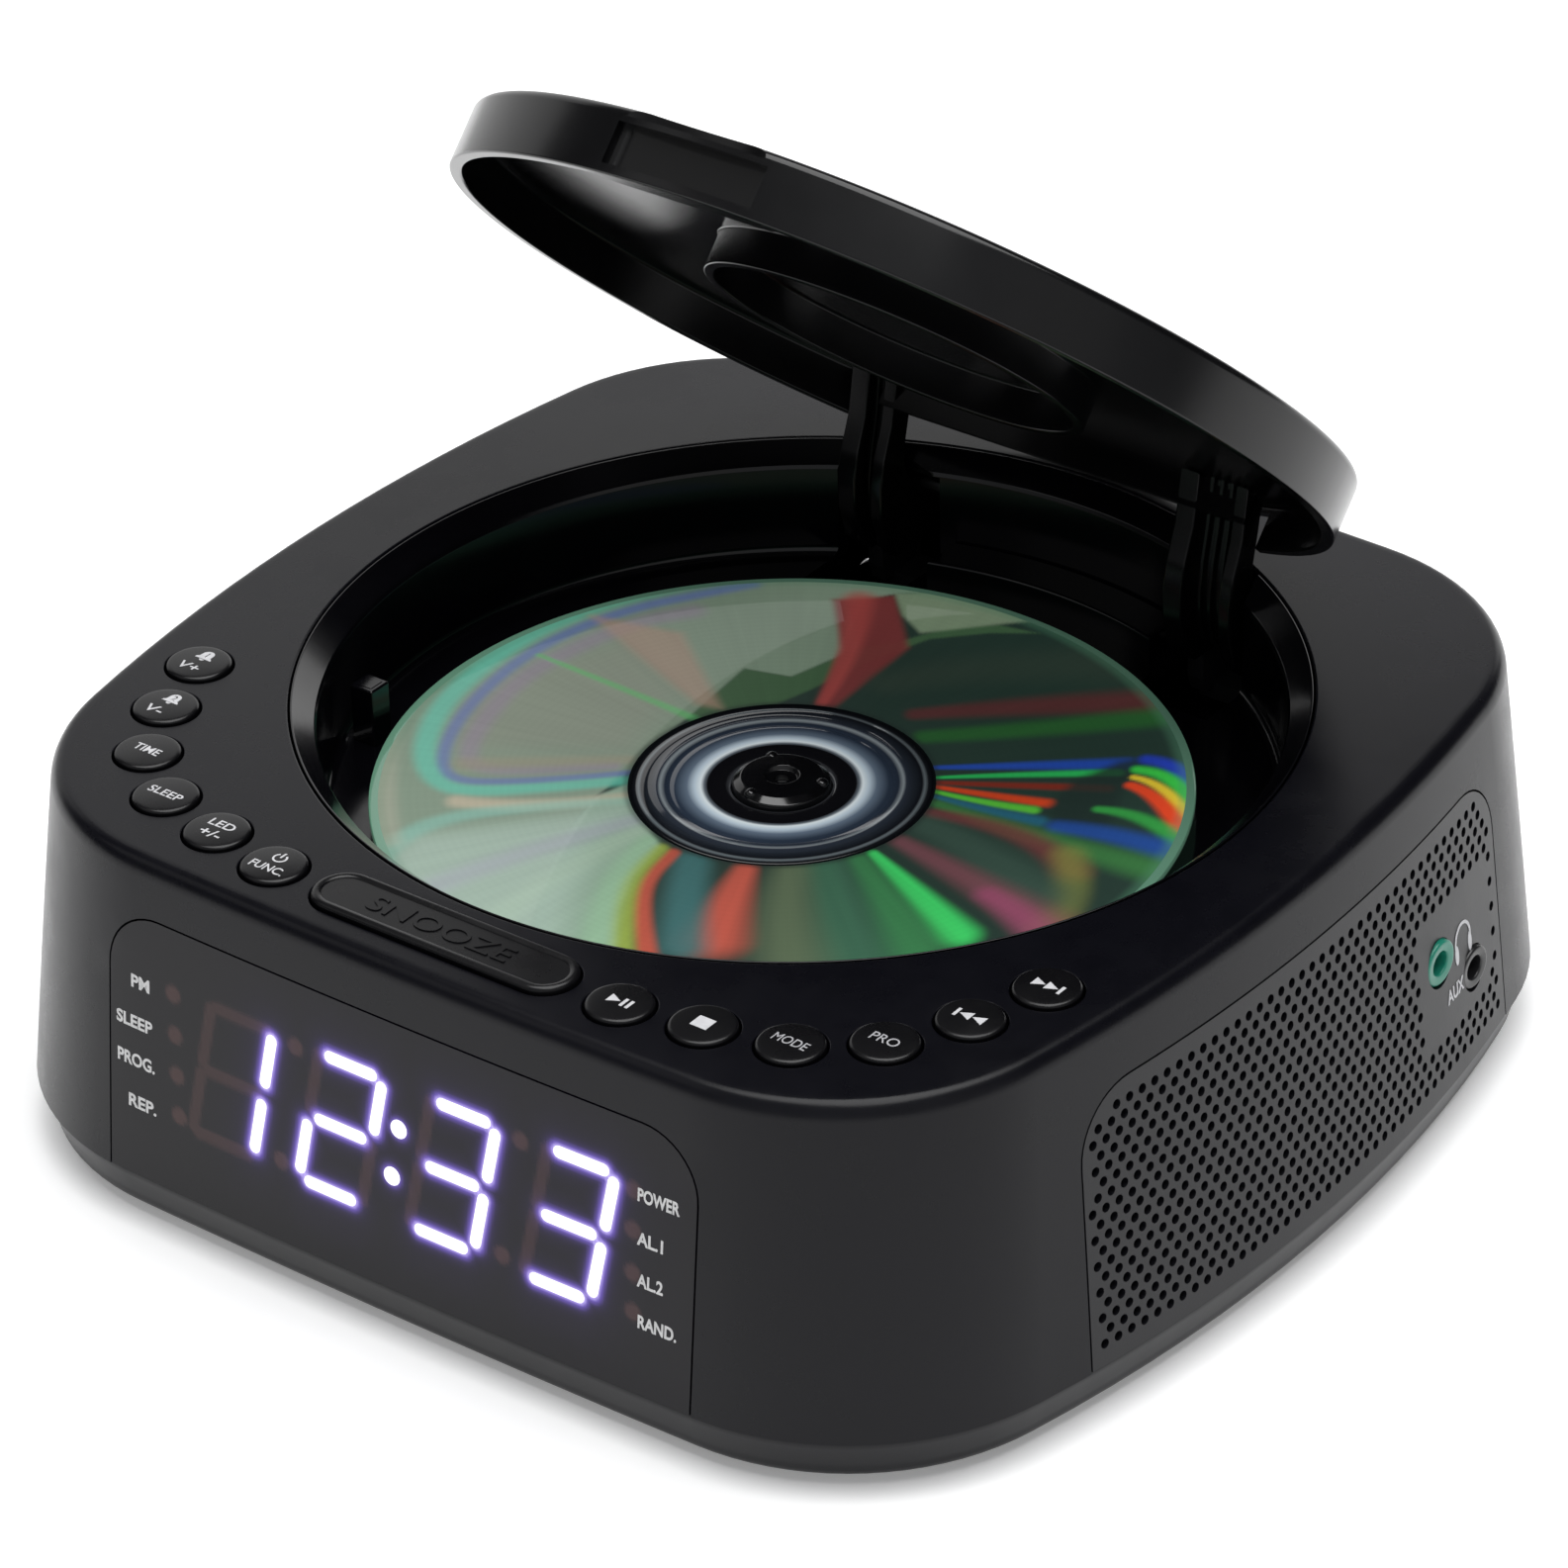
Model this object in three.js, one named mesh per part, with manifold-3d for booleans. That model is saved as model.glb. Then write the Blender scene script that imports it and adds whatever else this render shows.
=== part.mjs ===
// Tabletop top-loading disc player with clock display, open lid.
// Millimetres, +Z up. Origin: on the disc spindle's axis, in the plane the feet stand on.
// The display faces -Y, the jacks are on the +X side, the lid is hinged at +Y.
import * as THREE from 'three';
import { mergeVertices } from 'three/addons/utils/BufferGeometryUtils.js';
import Module from 'manifold-3d';
const wasm = await Module();
wasm.setup();

// ---------------------------------------------------------------- driving dimensions
const Z_TOP = 60.0;          // flat top face of the housing
const Z_PART = 9.2;          // parting line between upper housing and base tray
const Z_BASE = 2.0;          // underside of the base tray
const WALL = 2.2;            // housing wall
const TOP_T = 2.0;           // housing top thickness
const GAP = 0.3;             // working gap between neighbouring parts
// plan outline: half width A, front YF, back YB, side bulge radius RS, front/back bulge radius RF, corner RC
const PLAN_TOP = { a: 88.6, yf: -86.5, yb: 88.6, rs: 317, rf: 1500, rc: 37 };
const PLAN_PART = { a: 95.6, yf: -91.4, yb: 91.6, rs: 262, rf: 1900, rc: 39.5 };
const PLAN_BASE = { a: 93.6, yf: -89.6, yb: 89.8, rs: 262, rf: 1900, rc: 38 };
const SIDE_MID_Y = 2.3;      // where the side bulge is widest
const EDGE_IN = 1.7;         // inset of the rounded top edge
// disc and spindle
const DISC_R = 60.0, DISC_HOLE_R = 7.5, DISC_T = 1.2, DISC_TOP = 45.5;
const HUB_R = 7.25, TABLE_R = 13.4;
// disc well
const WELL_Y = 5.2;          // centre of the well and of the lid behind the spindle
const WELL_RIM_R = 73.8, WELL_R = 70.2, WELL_OUT_R = 72.2;
const WELL_FLOOR = 41.5, WELL_UNDER = 39.5, CHAMFER_Z = 57.0;
// lid
const LID_R = 68.8, LID_IN_R = 66.8, LID_RIM_Z = 52.3, LID_SKIN_Z = 59.4, LID_TOP_Z = 62.1, LID_DOME_Z = 62.7;
const LID_RING_R = 29.6, LID_RING_IN_R = 28.0, LID_RING_Z = 53.6;
const HINGE_Y = 80.0, HINGE_Z = 49.2, OPEN_DEG = 43.4;
const ARM_X0 = 24.0, ARM_X1 = 36.0;
// round buttons: x, y of the right-hand set; the left-hand set mirrors it
const BTN_POS = [[30.3, -76.5], [42.6, -74.3], [54.8, -71.2], [64.8, -63.7], [70.9, -52.8], [75.0, -40.8]];
const BTN_R = 4.8, BTN_HOLE_R = 5.1, BTN_TOP = 60.75;
const SNOOZE_Y = -76.4, SNOOZE_HALF = 17.5, SNOOZE_R = 4.8, SNOOZE_TOP = 60.95;
// front window and side grilles
const WIN_X0 = -52.9, WIN_X1 = 51.1, WIN_TOP = 51.3, WIN_R = 9.5;
const GR_Y0 = -49.0, GR_Y1 = 55.4, GR_TOP = 50.4, GR_R = 10.0, GR_LEAN = 2.7;
// sockets
const HP = [34.6, 29.7], AUX = [45.2, 23.1];
// pickup drive
const PITCH_R = 6.0, TEETH = 16, RACK_P = 2 * Math.PI * PITCH_R / TEETH;
const GEAR_Y = 26.2, GEAR_X = 40.0, SLED_X = 16.4;
const DAMPER_POS = [[-24, -21], [-24, 21], [62, -23.4], [62, 25.6]];
const FOOT_POS = [[66, -62], [-66, -62], [66, 64], [-66, 64]];

// ---------------------------------------------------------------- helpers
const V2 = (x, y) => new THREE.Vector2(x, y);
function toM(geo) {
  let g = geo.index ? geo.toNonIndexed() : geo.clone();
  g.deleteAttribute('normal'); g.deleteAttribute('uv');
  g = mergeVertices(g, 1e-4);
  const src = g.index.array, tri = [];
  for (let i = 0; i < src.length; i += 3) {
    const a = src[i], b = src[i + 1], c = src[i + 2];
    if (a !== b && b !== c && a !== c) tri.push(a, b, c);
  }
  return new wasm.Manifold(new wasm.Mesh({
    numProp: 3,
    vertProperties: Float32Array.from(g.attributes.position.array),
    triVerts: Uint32Array.from(tri)
  }));
}
function toGeo(m) {
  const r = m.getMesh();
  const n = r.numProp, count = r.vertProperties.length / n;
  const pos = new Float32Array(count * 3);
  for (let i = 0; i < count; i++) for (let k = 0; k < 3; k++) pos[i * 3 + k] = r.vertProperties[i * n + k];
  const g = new THREE.BufferGeometry();
  g.setAttribute('position', new THREE.BufferAttribute(pos, 3));
  g.setIndex(Array.from(r.triVerts));
  g.computeVertexNormals();
  return g;
}
const box = (x0, x1, y0, y1, z0, z1) => {
  const g = new THREE.BoxGeometry(x1 - x0, y1 - y0, z1 - z0);
  g.translate((x0 + x1) / 2, (y0 + y1) / 2, (z0 + z1) / 2);
  return toM(g);
};
const cylZ = (x, y, z0, z1, r, n = 20, rTop = r) => {
  const g = new THREE.CylinderGeometry(rTop, r, z1 - z0, n);
  g.rotateX(Math.PI / 2); g.translate(x, y, (z0 + z1) / 2);
  return toM(g);
};
const cylX = (x0, x1, y, z, r, n = 16) => {
  const g = new THREE.CylinderGeometry(r, r, x1 - x0, n);
  g.rotateZ(Math.PI / 2); g.translate((x0 + x1) / 2, y, z);
  return toM(g);
};
const cylY = (x, y0, y1, z, r, n = 16) => {
  const g = new THREE.CylinderGeometry(r, r, y1 - y0, n);
  g.translate(x, (y0 + y1) / 2, z);
  return toM(g);
};
// profile [r, z] pairs turned about a vertical axis through (cx, cy)
function turned(profile, n, cx = 0, cy = 0) {
  const g = new THREE.LatheGeometry(profile.map(p => V2(p[0], p[1])), n);
  g.rotateX(Math.PI / 2); g.translate(cx, cy, 0);
  return fixOut(toM(g), g);
}
// profile [r, x] pairs turned about the X axis through (y, z)
function turnedX(profile, n, y, z) {
  const g = new THREE.LatheGeometry(profile.map(p => V2(p[0], p[1])), n);
  g.rotateZ(-Math.PI / 2); g.translate(0, y, z);
  return fixOut(toM(g), g);
}
function fixOut(m, g) {
  if (m.volume() > 0) return m;
  const h = g.toNonIndexed ? (g.index ? g.toNonIndexed() : g.clone()) : g;
  const p = h.attributes.position;
  for (let i = 0; i < p.count; i += 3) {
    const a = [p.getX(i + 1), p.getY(i + 1), p.getZ(i + 1)];
    p.setXYZ(i + 1, p.getX(i + 2), p.getY(i + 2), p.getZ(i + 2));
    p.setXYZ(i + 2, a[0], a[1], a[2]);
  }
  return toM(h);
}
// polygon [x, y] pulled up from z0 to z1
function prismZ(pts, z0, z1) {
  const g = new THREE.ExtrudeGeometry(new THREE.Shape(pts.map(p => V2(p[0], p[1]))), { depth: z1 - z0, bevelEnabled: false });
  g.translate(0, 0, z0);
  return fixOut(toM(g), g);
}
// polygon [y, z] pulled along X from x0 to x1
function prismX(pts, x0, x1) {
  const g = new THREE.ExtrudeGeometry(new THREE.Shape(pts.map(p => V2(p[0], p[1]))), { depth: x1 - x0, bevelEnabled: false });
  g.applyMatrix4(new THREE.Matrix4().set(0, 0, 1, x0, 1, 0, 0, 0, 0, 1, 0, 0, 0, 0, 0, 1));
  return fixOut(toM(g), g);
}
// polygon [x, z] pulled along Y from y0 to y1
function prismY(pts, y0, y1) {
  const g = new THREE.ExtrudeGeometry(new THREE.Shape(pts.map(p => V2(p[0], p[1]))), { depth: y1 - y0, bevelEnabled: false });
  g.applyMatrix4(new THREE.Matrix4().set(1, 0, 0, 0, 0, 0, -1, y1, 0, 1, 0, 0, 0, 0, 0, 1));
  return fixOut(toM(g), g);
}
const addAll = l => l.reduce((a, b) => a.add(b));
const cutAll = (a, l) => l.reduce((x, y) => x.subtract(y), a);

// where two circles meet, taking the crossing in the wanted quadrant
function meet(c0, r0, c1, r1, sy) {
  const dx = c1[0] - c0[0], dy = c1[1] - c0[1], d = Math.hypot(dx, dy);
  const a = (r0 * r0 - r1 * r1 + d * d) / (2 * d), h = Math.sqrt(Math.max(0, r0 * r0 - a * a));
  const mx = c0[0] + dx * a / d, my = c0[1] + dy * a / d;
  const p = [mx - dy * h / d, my + dx * h / d], q = [mx + dy * h / d, my - dx * h / d];
  return (p[0] > 0 && p[1] * sy > 0) ? p : q;
}
// bulged rounded rectangle, counter-clockwise, always the same point count
const NS = 4, NC = 6, NF = 3;
function outline(P, inset = 0) {
  const a = P.a - inset, yf = P.yf + inset, yb = P.yb - inset, rs = P.rs - inset, rf = P.rf - inset, rc = P.rc - inset;
  const cs = [a - rs, SIDE_MID_Y], cf = [0, yf + rf], cb = [0, yb - rf];
  const Cf = meet(cs, rs - rc, cf, rf - rc, -1), Cb = meet(cs, rs - rc, cb, rf - rc, 1);
  const ang = (c, p) => Math.atan2(p[1] - c[1], p[0] - c[0]);
  const half = [];
  const arc = (c, r, t0, t1, n, first) => {
    for (let i = first ? 0 : 1; i <= n; i++) { const t = t0 + (t1 - t0) * i / n; half.push([c[0] + r * Math.cos(t), c[1] + r * Math.sin(t)]); }
  };
  arc(cf, rf, -Math.PI / 2, ang(cf, Cf), NF, true);
  arc(Cf, rc, ang(cf, Cf), ang(cs, Cf), NC, false);
  arc(cs, rs, ang(cs, Cf), ang(cs, Cb), NS, false);
  arc(Cb, rc, ang(cs, Cb), ang(cb, Cb), NC, false);
  arc(cb, rf, ang(cb, Cb), Math.PI / 2, NF, false);
  half[0][0] = 0; half[half.length - 1][0] = 0;
  const out = half.slice();
  for (let i = half.length - 2; i > 0; i--) out.push([-half[i][0], half[i][1]]);
  return out;
}
// blended plan between the top and the parting line at height z
function planAt(z) {
  const k = (Z_TOP - z) / (Z_TOP - Z_PART), o = {};
  for (const key of Object.keys(PLAN_TOP)) o[key] = PLAN_TOP[key] + (PLAN_PART[key] - PLAN_TOP[key]) * k;
  return o;
}
// solid through stacked rings [ring, z] listed from the bottom up
function loft(levels) {
  const n = levels[0][0].length, v = [], t = [];
  for (const [ring, z] of levels) for (const p of ring) v.push(p[0], p[1], z);
  for (let l = 0; l < levels.length - 1; l++) for (let i = 0; i < n; i++) {
    const a = l * n + i, b = l * n + (i + 1) % n, c = a + n, d = b + n;
    t.push(a, b, d, a, d, c);
  }
  const cap = (l, up) => {
    const f = THREE.ShapeUtils.triangulateShape(levels[l][0].map(p => V2(p[0], p[1])), []);
    for (const [a, b, c] of f) up ? t.push(l * n + a, l * n + b, l * n + c) : t.push(l * n + a, l * n + c, l * n + b);
  };
  cap(0, false); cap(levels.length - 1, true);
  const g = new THREE.BufferGeometry();
  g.setAttribute('position', new THREE.BufferAttribute(new Float32Array(v), 3));
  g.setIndex(t);
  return fixOut(toM(g), g);
}
const xAtSide = (y, z) => { const P = planAt(z); return P.a - P.rs + Math.sqrt(P.rs * P.rs - (y - SIDE_MID_Y) ** 2); };

// ---------------------------------------------------------------- group and materials
const group = new THREE.Group();
group.name = 'disc_clock_player';
const MAT = {
  case: [0x2a2a2c, 0.62, 0.0], base: [0x242426, 0.66, 0.0], gloss: [0x0d0d10, 0.16, 0.0],
  lens: [0x141416, 0.12, 0.0], grille: [0x26262a, 0.6, 0.0], button: [0x1f1f21, 0.45, 0.0],
  lid: [0x151517, 0.22, 0.0], pcb: [0x1c5a34, 0.55, 0.0], display: [0x1a1210, 0.4, 0.0],
  disc: [0xb9c4c0, 0.12, 0.35], hub: [0x15161a, 0.2, 0.1], steel: [0xb8babd, 0.3, 1.0],
  motor: [0xa6a8ac, 0.35, 1.0], chassis: [0x3a3b3e, 0.6, 0.0], rubber: [0x18181a, 0.85, 0.0],
  optic: [0x2b3a6a, 0.08, 0.0], white: [0xd9d8d2, 0.5, 0.0], speaker: [0x222224, 0.8, 0.0],
  green: [0x1d7a62, 0.35, 0.0], jack: [0x121214, 0.35, 0.0], cell: [0x8d9094, 0.35, 0.6]
};
// sub-assemblies; a solid is drawn in its parent's frame and its mesh is placed at the solid's own middle
const sub = (parent, x = 0, y = 0, z = 0) => { const g = new THREE.Group(); g.position.set(x, y, z); parent.add(g); return g; };
const housing = sub(group), controls = sub(housing), mechanism = sub(group), electronics = sub(group);
const hinge = sub(group, 0, HINGE_Y, HINGE_Z), platter = sub(group, 0, 0, DISC_TOP);
function put(name, m, mat, parent = housing) {
  const [c, r, me] = MAT[mat];
  const b = m.boundingBox(), mid = [0, 1, 2].map(k => Math.round((b.min[k] + b.max[k]) * 5) / 10);
  const mesh = new THREE.Mesh(toGeo(m.translate([-mid[0], -mid[1], -mid[2]])), new THREE.MeshStandardMaterial({ color: c, roughness: r, metalness: me }));
  mesh.name = name;
  mesh.position.set(mid[0], mid[1], mid[2]);
  parent.add(mesh);
}
const onPlatter = m => m.translate([0, 0, -DISC_TOP]);
const toHinge = m => m.translate([0, -HINGE_Y, -HINGE_Z]);

// ---------------------------------------------------------------- housing
const outerLevels = [[outline(PLAN_PART), Z_PART], [outline(planAt(57.6)), 57.6], [outline(planAt(59.3), 0.55), 59.3], [outline(PLAN_TOP, EDGE_IN), Z_TOP]];
const shellOuter = loft(outerLevels);
const shellInner = loft([[outline(planAt(Z_PART - 1), WALL), Z_PART - 1], [outline(planAt(Z_TOP - TOP_T - 1.5), WALL), Z_TOP - TOP_T - 1.5], [outline(planAt(Z_TOP - TOP_T), WALL + 1.4), Z_TOP - TOP_T]]);
const shell = shellOuter.subtract(shellInner);

// rounded-top panel shapes [u, z]
function panelShape(u0, u1, z0, z1, r, n = 5) {
  const p = [[u0, z0], [u1, z0]];
  for (let i = 0; i <= n; i++) { const t = (Math.PI / 2) * i / n; p.push([u1 - r + r * Math.cos(t), z1 - r + r * Math.sin(t)]); }
  for (let i = 0; i <= n; i++) { const t = Math.PI / 2 + (Math.PI / 2) * i / n; p.push([u0 + r + r * Math.cos(t), z1 - r + r * Math.sin(t)]); }
  return p;
}
// the front edge of a grille leans forward towards the base
const lean = pts => pts.map(p => p[0] < 0 ? [p[0] - GR_LEAN * (GR_TOP - p[1]) / (GR_TOP - Z_PART), p[1]] : p);
const h = GAP / 2;
const winOut = prismY(panelShape(WIN_X0 - h, WIN_X1 + h, Z_PART - 2, WIN_TOP + h, WIN_R + h), -110, -70);
const winIn = prismY(panelShape(WIN_X0 + h, WIN_X1 - h, Z_PART + 0.2, WIN_TOP - h, WIN_R - h), -110, -70);
const grOut = lean(panelShape(GR_Y0 - h, GR_Y1 + h, Z_PART - 2, GR_TOP + h, GR_R + h));
const grIn = lean(panelShape(GR_Y0 + h, GR_Y1 - h, Z_PART + 0.2, GR_TOP - h, GR_R - h));

// plan shapes of the controls
const stadium = (r, half, n = 8) => {
  const p = [];
  for (let i = 0; i <= n; i++) { const t = -Math.PI / 2 + Math.PI * i / n; p.push([half + r * Math.cos(t), SNOOZE_Y + r * Math.sin(t)]); }
  for (let i = 0; i <= n; i++) { const t = Math.PI / 2 + Math.PI * i / n; p.push([-half + r * Math.cos(t), SNOOZE_Y + r * Math.sin(t)]); }
  return p;
};
const allBtn = [];
BTN_POS.forEach(([x, y], i) => { allBtn.push([x, y, i, 'r'], [-x, y, i, 'l']); });
// slots the hinge arms swing through
const slotCuts = [];
for (const s of [-1, 1]) {
  const xa = s > 0 ? ARM_X0 - 1.2 : -ARM_X1 - 1.2, xb = s > 0 ? ARM_X1 + 1.2 : -ARM_X0 + 1.2;
  slotCuts.push(prismX([[55.2, 30], [86, 30], [86, 56.3], [71.2, 56.3], [71.2, 61], [60.5, 61], [55.2, 50]], xa, xb));
}
const inletX = -46, inletZ = 22;
const inletWallY = (() => { const P = planAt(inletZ); return P.yb; })();
const upper = cutAll(shell, [
  cylZ(0, WELL_Y, 50, 62, WELL_RIM_R + GAP, 64),
  ...allBtn.map(([x, y]) => cylZ(x, y, 55, 63, BTN_HOLE_R + 0.1, 14)),
  prismZ(stadium(SNOOZE_R + GAP, SNOOZE_HALF), 55, 63),
  winOut, prismX(grOut, 60, 110), prismX(grOut, -110, -60), ...slotCuts,
  cylY(inletX, 80, 100, inletZ, 5.0, 16)
]);
put('upper_case', upper, 'case');

// ---------------------------------------------------------------- front window, display, grilles
put('display_lens', shell.intersect(winIn), 'lens');
put('display_module', box(-44, 44, -84.9, -78.4, 15, 47), 'display', electronics);
put('display_pcb', addAll([box(-47, 47, -78.1, -76.5, 13, 48), box(-20, 20, -76.6, -73.6, 16, 24)]), 'pcb', electronics);

function grilleHoles(sign, skip) {
  const l = [];
  for (let j = 0; j < 4; j++) for (let i = 0; i < 11; i++) {
    const y = -43 + i * 9.2 + (j % 2) * 4.6, z = 17 + j * 8.8;
    if (y > 51 || skip(y, z)) continue;
    const g = new THREE.CylinderGeometry(2.6, 2.6, 34, 6);
    g.rotateZ(Math.PI / 2); g.translate(sign * 88, y, z);
    l.push(toM(g));
  }
  return l;
}
const jackZone = (y, z) => y > 25.5 && z < 41;
const slabR = shell.intersect(prismX(grIn, 60, 110));
const slabL = shell.intersect(prismX(grIn, -110, -60));
put('grille_right', cutAll(slabR, [addAll(grilleHoles(1, jackZone)), cylX(70, 110, HP[0], HP[1], 3.9, 16), cylX(70, 110, AUX[0], AUX[1], 3.7, 16)]), 'grille');
put('grille_left', slabL.subtract(addAll(grilleHoles(-1, () => false))), 'grille');

const speakerProfile = [[0, 83.0], [6.2, 80.6], [17.2, 86.0], [17.6, 87.0], [19.6, 87.0], [19.6, 85.4], [17.4, 85.0], [9.5, 79.2], [12.4, 79.0], [12.4, 74.2], [0, 74.2]];
put('speaker_right', turnedX(speakerProfile, 18, -10, 30.4), 'speaker', electronics);
put('speaker_left', turnedX(speakerProfile.map(p => [p[0], -p[1]]), 18, -10, 30.4), 'speaker', electronics);

// ---------------------------------------------------------------- sockets
function jack(y, z, ro, ri) {
  const xs = xAtSide(y, z) + 0.35;
  const body = turnedX([[0, xs - 14], [ro, xs - 14], [ro, xs], [ri + 0.5, xs], [ri, xs - 0.5], [ri, xs - 11], [0, xs - 11]], 16, y, z);
  return body.add(box(xs - 16.5, xs - 6, y - 4.6, y + 4.6, z - 4.2, z + 4.2).subtract(cylX(xs - 11, xs, y, z, ri + 0.8, 16)));
}
put('headphone_jack', jack(HP[0], HP[1], 3.6, 1.85), 'green', electronics);
put('aux_jack', jack(AUX[0], AUX[1], 3.4, 1.85), 'jack', electronics);
put('power_inlet', (() => {
  const y1 = inletWallY - 0.4;
  const b = cylY(inletX, y1 - 10, y1, inletZ, 4.7, 16).subtract(cylY(inletX, y1 - 9, y1 + 1, inletZ, 3.1, 16));
  return addAll([b, box(inletX - 5.5, inletX + 5.5, y1 - 15, y1 - 8.9, inletZ - 5, inletZ + 5), cylY(inletX, y1 - 9.5, y1 - 1.5, inletZ, 1.0, 8)]);
})(), 'jack');

// ---------------------------------------------------------------- base tray
const batX0 = -52, batX1 = -2, batY0 = 18, batY1 = 44;
const baseOuter = loft([[outline(PLAN_BASE, 1.6), Z_BASE], [outline(PLAN_BASE, 0.35), Z_BASE + 1.1], [outline(PLAN_PART, 0.5), Z_PART - 0.35], [outline(PLAN_PART, 0.9), Z_PART - 0.05]]);
const baseInner = loft([[outline(PLAN_BASE, 3.2), Z_BASE + 2.2], [outline(PLAN_PART, 3.2), Z_PART + 1]]);
const postXY = [[58, -56], [-58, -56], [60, 60], [-60, 60]];
let base = baseOuter.subtract(baseInner);
base = addAll([base, ...postXY.map(([x, y]) => cylZ(x, y, Z_BASE + 2.0, 9.0, 4, 12)),
  box(batX0 - 1.6, batX1 + 1.6, batY0 - 1.6, batY1 + 1.6, Z_BASE + 0.8, 17.0)]);
base = cutAll(base, [
  box(batX0, batX1, batY0, batY1, Z_BASE + 2.3, 15.6),
  box(batX0 - 0.6, batX1 + 0.6, batY0 + 1.0, batY1 - 1.0, Z_BASE - 1, Z_BASE + 2.3 + 0.01),
  ...[0, 1].map(i => cylZ(postXY[i][0], postXY[i][1], Z_BASE - 1, 8.4, 2.6, 12))
]);
put('base_case', base, 'base');
put('battery_door', addAll([box(batX0 - 0.3, batX1 + 0.3, batY0 + 1.3, batY1 - 1.3, Z_BASE + 0.1, Z_BASE + 1.9)]), 'base');
const cellG = (y) => addAll([cylX(-51.4, -4.0, y, 10.0, 5.25, 16), cylX(-4.1, -2.9, y, 10.0, 1.9, 10)]);
put('backup_cell_front', cellG(24.8), 'cell');
put('backup_cell_back', cellG(37.2), 'cell');
FOOT_POS.forEach(([x, y], i) => put(['foot_front_right', 'foot_front_left', 'foot_back_right', 'foot_back_left'][i],
  turned([[0, 0], [6.4, 0], [7, 0.6], [7, Z_BASE - 0.02], [0, Z_BASE - 0.02]], 14, x, y), 'rubber'));
[0, 1].forEach(i => put(['case_screw_right', 'case_screw_left'][i],
  addAll([cylZ(postXY[i][0], postXY[i][1], 3.2, 5.2, 2.3, 12), cylZ(postXY[i][0], postXY[i][1], 5.1, 8.3, 1.3, 10)]), 'steel'));

// ---------------------------------------------------------------- boards
put('main_pcb', addAll([
  box(-55, 66, -66, 14, 10.2, 11.8), box(2, 66, 13.9, 56, 10.2, 11.8),
  box(10, 26, -30, -14, 11.7, 13.8), box(34, 44, -2, 8, 11.7, 13.6), box(6, 30, 32, 50, 11.7, 24),
  cylZ(-20, -20, 11.7, 24, 6, 14), cylZ(-36, -20, 11.7, 22, 5, 14), cylZ(-20, -38, 11.7, 20, 4, 12), box(-50, -30, -60, -48, 11.7, 17)
]).subtract(addAll(postXY.slice(0, 1).map(([x, y]) => cylZ(x, y, 5, 15, 4.5, 12)))), 'pcb');
const ringSector = (r0, r1, d0, d1, z0, z1, n) => {
  const p = [];
  for (let i = 0; i <= n; i++) { const t = (d0 + (d1 - d0) * i / n) * Math.PI / 180; p.push([r1 * Math.cos(t), WELL_Y + r1 * Math.sin(t)]); }
  for (let i = n; i >= 0; i--) { const t = (d0 + (d1 - d0) * i / n) * Math.PI / 180; p.push([r0 * Math.cos(t), WELL_Y + r0 * Math.sin(t)]); }
  return prismZ(p, z0, z1);
};
const inside = loft([[outline(planAt(48), 3.4), 48], [outline(planAt(53), 3.4), 53]]);
put('button_pcb', addAll([
  ringSector(76.5, 94, 205, 335, 49.2, 50.8, 26).intersect(inside),
  ...allBtn.map(([x, y]) => box(x - 2.6, x + 2.6, y - 2.6, y + 2.6, 50.7, 52.0)),
  box(-13, -8, SNOOZE_Y - 2.5, SNOOZE_Y + 2.5, 50.7, 52.0), box(8, 13, SNOOZE_Y - 2.5, SNOOZE_Y + 2.5, 50.7, 52.0)
]), 'pcb');

// ---------------------------------------------------------------- buttons
const names = ['play', 'stop', 'mode', 'program', 'previous', 'next'];
const namesL = ['function', 'led', 'sleep', 'time', 'volume_down', 'volume_up'];
for (const [x, y, i, side] of allBtn) {
  put('button_' + (side === 'r' ? names[i] : namesL[i]), turned([
    [0, 53.0], [1.7, 53.0], [1.7, 55.9], [5.5, 55.9], [5.5, 57.6], [BTN_R, 57.6], [BTN_R, 60.3], [BTN_R - 0.5, BTN_TOP], [0, BTN_TOP + 0.05]
  ], 14, x, y), 'button', controls);
}
put('button_snooze', addAll([
  prismZ(stadium(SNOOZE_R, SNOOZE_HALF), 57.5, SNOOZE_TOP), prismZ(stadium(5.5, SNOOZE_HALF), 55.9, 57.6),
  box(-12, -9, SNOOZE_Y - 1.5, SNOOZE_Y + 1.5, 53.0, 56), box(9, 12, SNOOZE_Y - 1.5, SNOOZE_Y + 1.5, 53.0, 56)
]), 'button', controls);

// ---------------------------------------------------------------- disc well
const arcPts = (r, cy, x0, x1, n) => { const p = []; for (let i = 0; i <= n; i++) { const x = x0 + (x1 - x0) * i / n; p.push([x, cy + Math.sqrt(r * r - x * x)]); } return p; };
const stepPoly = [...arcPts(68.0, 0, -20.5, 20.5, 8), ...arcPts(71.2, WELL_Y, 20.5, -20.5, 8)];
let well = turned([[0, WELL_UNDER], [70.6, WELL_UNDER], [WELL_OUT_R, 41.2], [WELL_OUT_R, 56.4], [WELL_RIM_R, 58.0], [WELL_RIM_R, Z_TOP], [WELL_R, CHAMFER_Z], [WELL_R, 43.2], [68.6, WELL_FLOOR], [0, WELL_FLOOR]], 64, 0, WELL_Y);
well = addAll([well, prismZ(stepPoly, 41.0, 45.4)]);
well = cutAll(well, [
  cylZ(0, 0, 30, 50, 16.5, 32), box(14, 67, -9, 9, 30, 43.4), ...slotCuts
]);
put('disc_well', well, 'gloss');
put('lid_switch_block', box(-63.7, -59.5, -21.0, -16.9, WELL_FLOOR + 0.15, 51.0), 'gloss');

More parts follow.
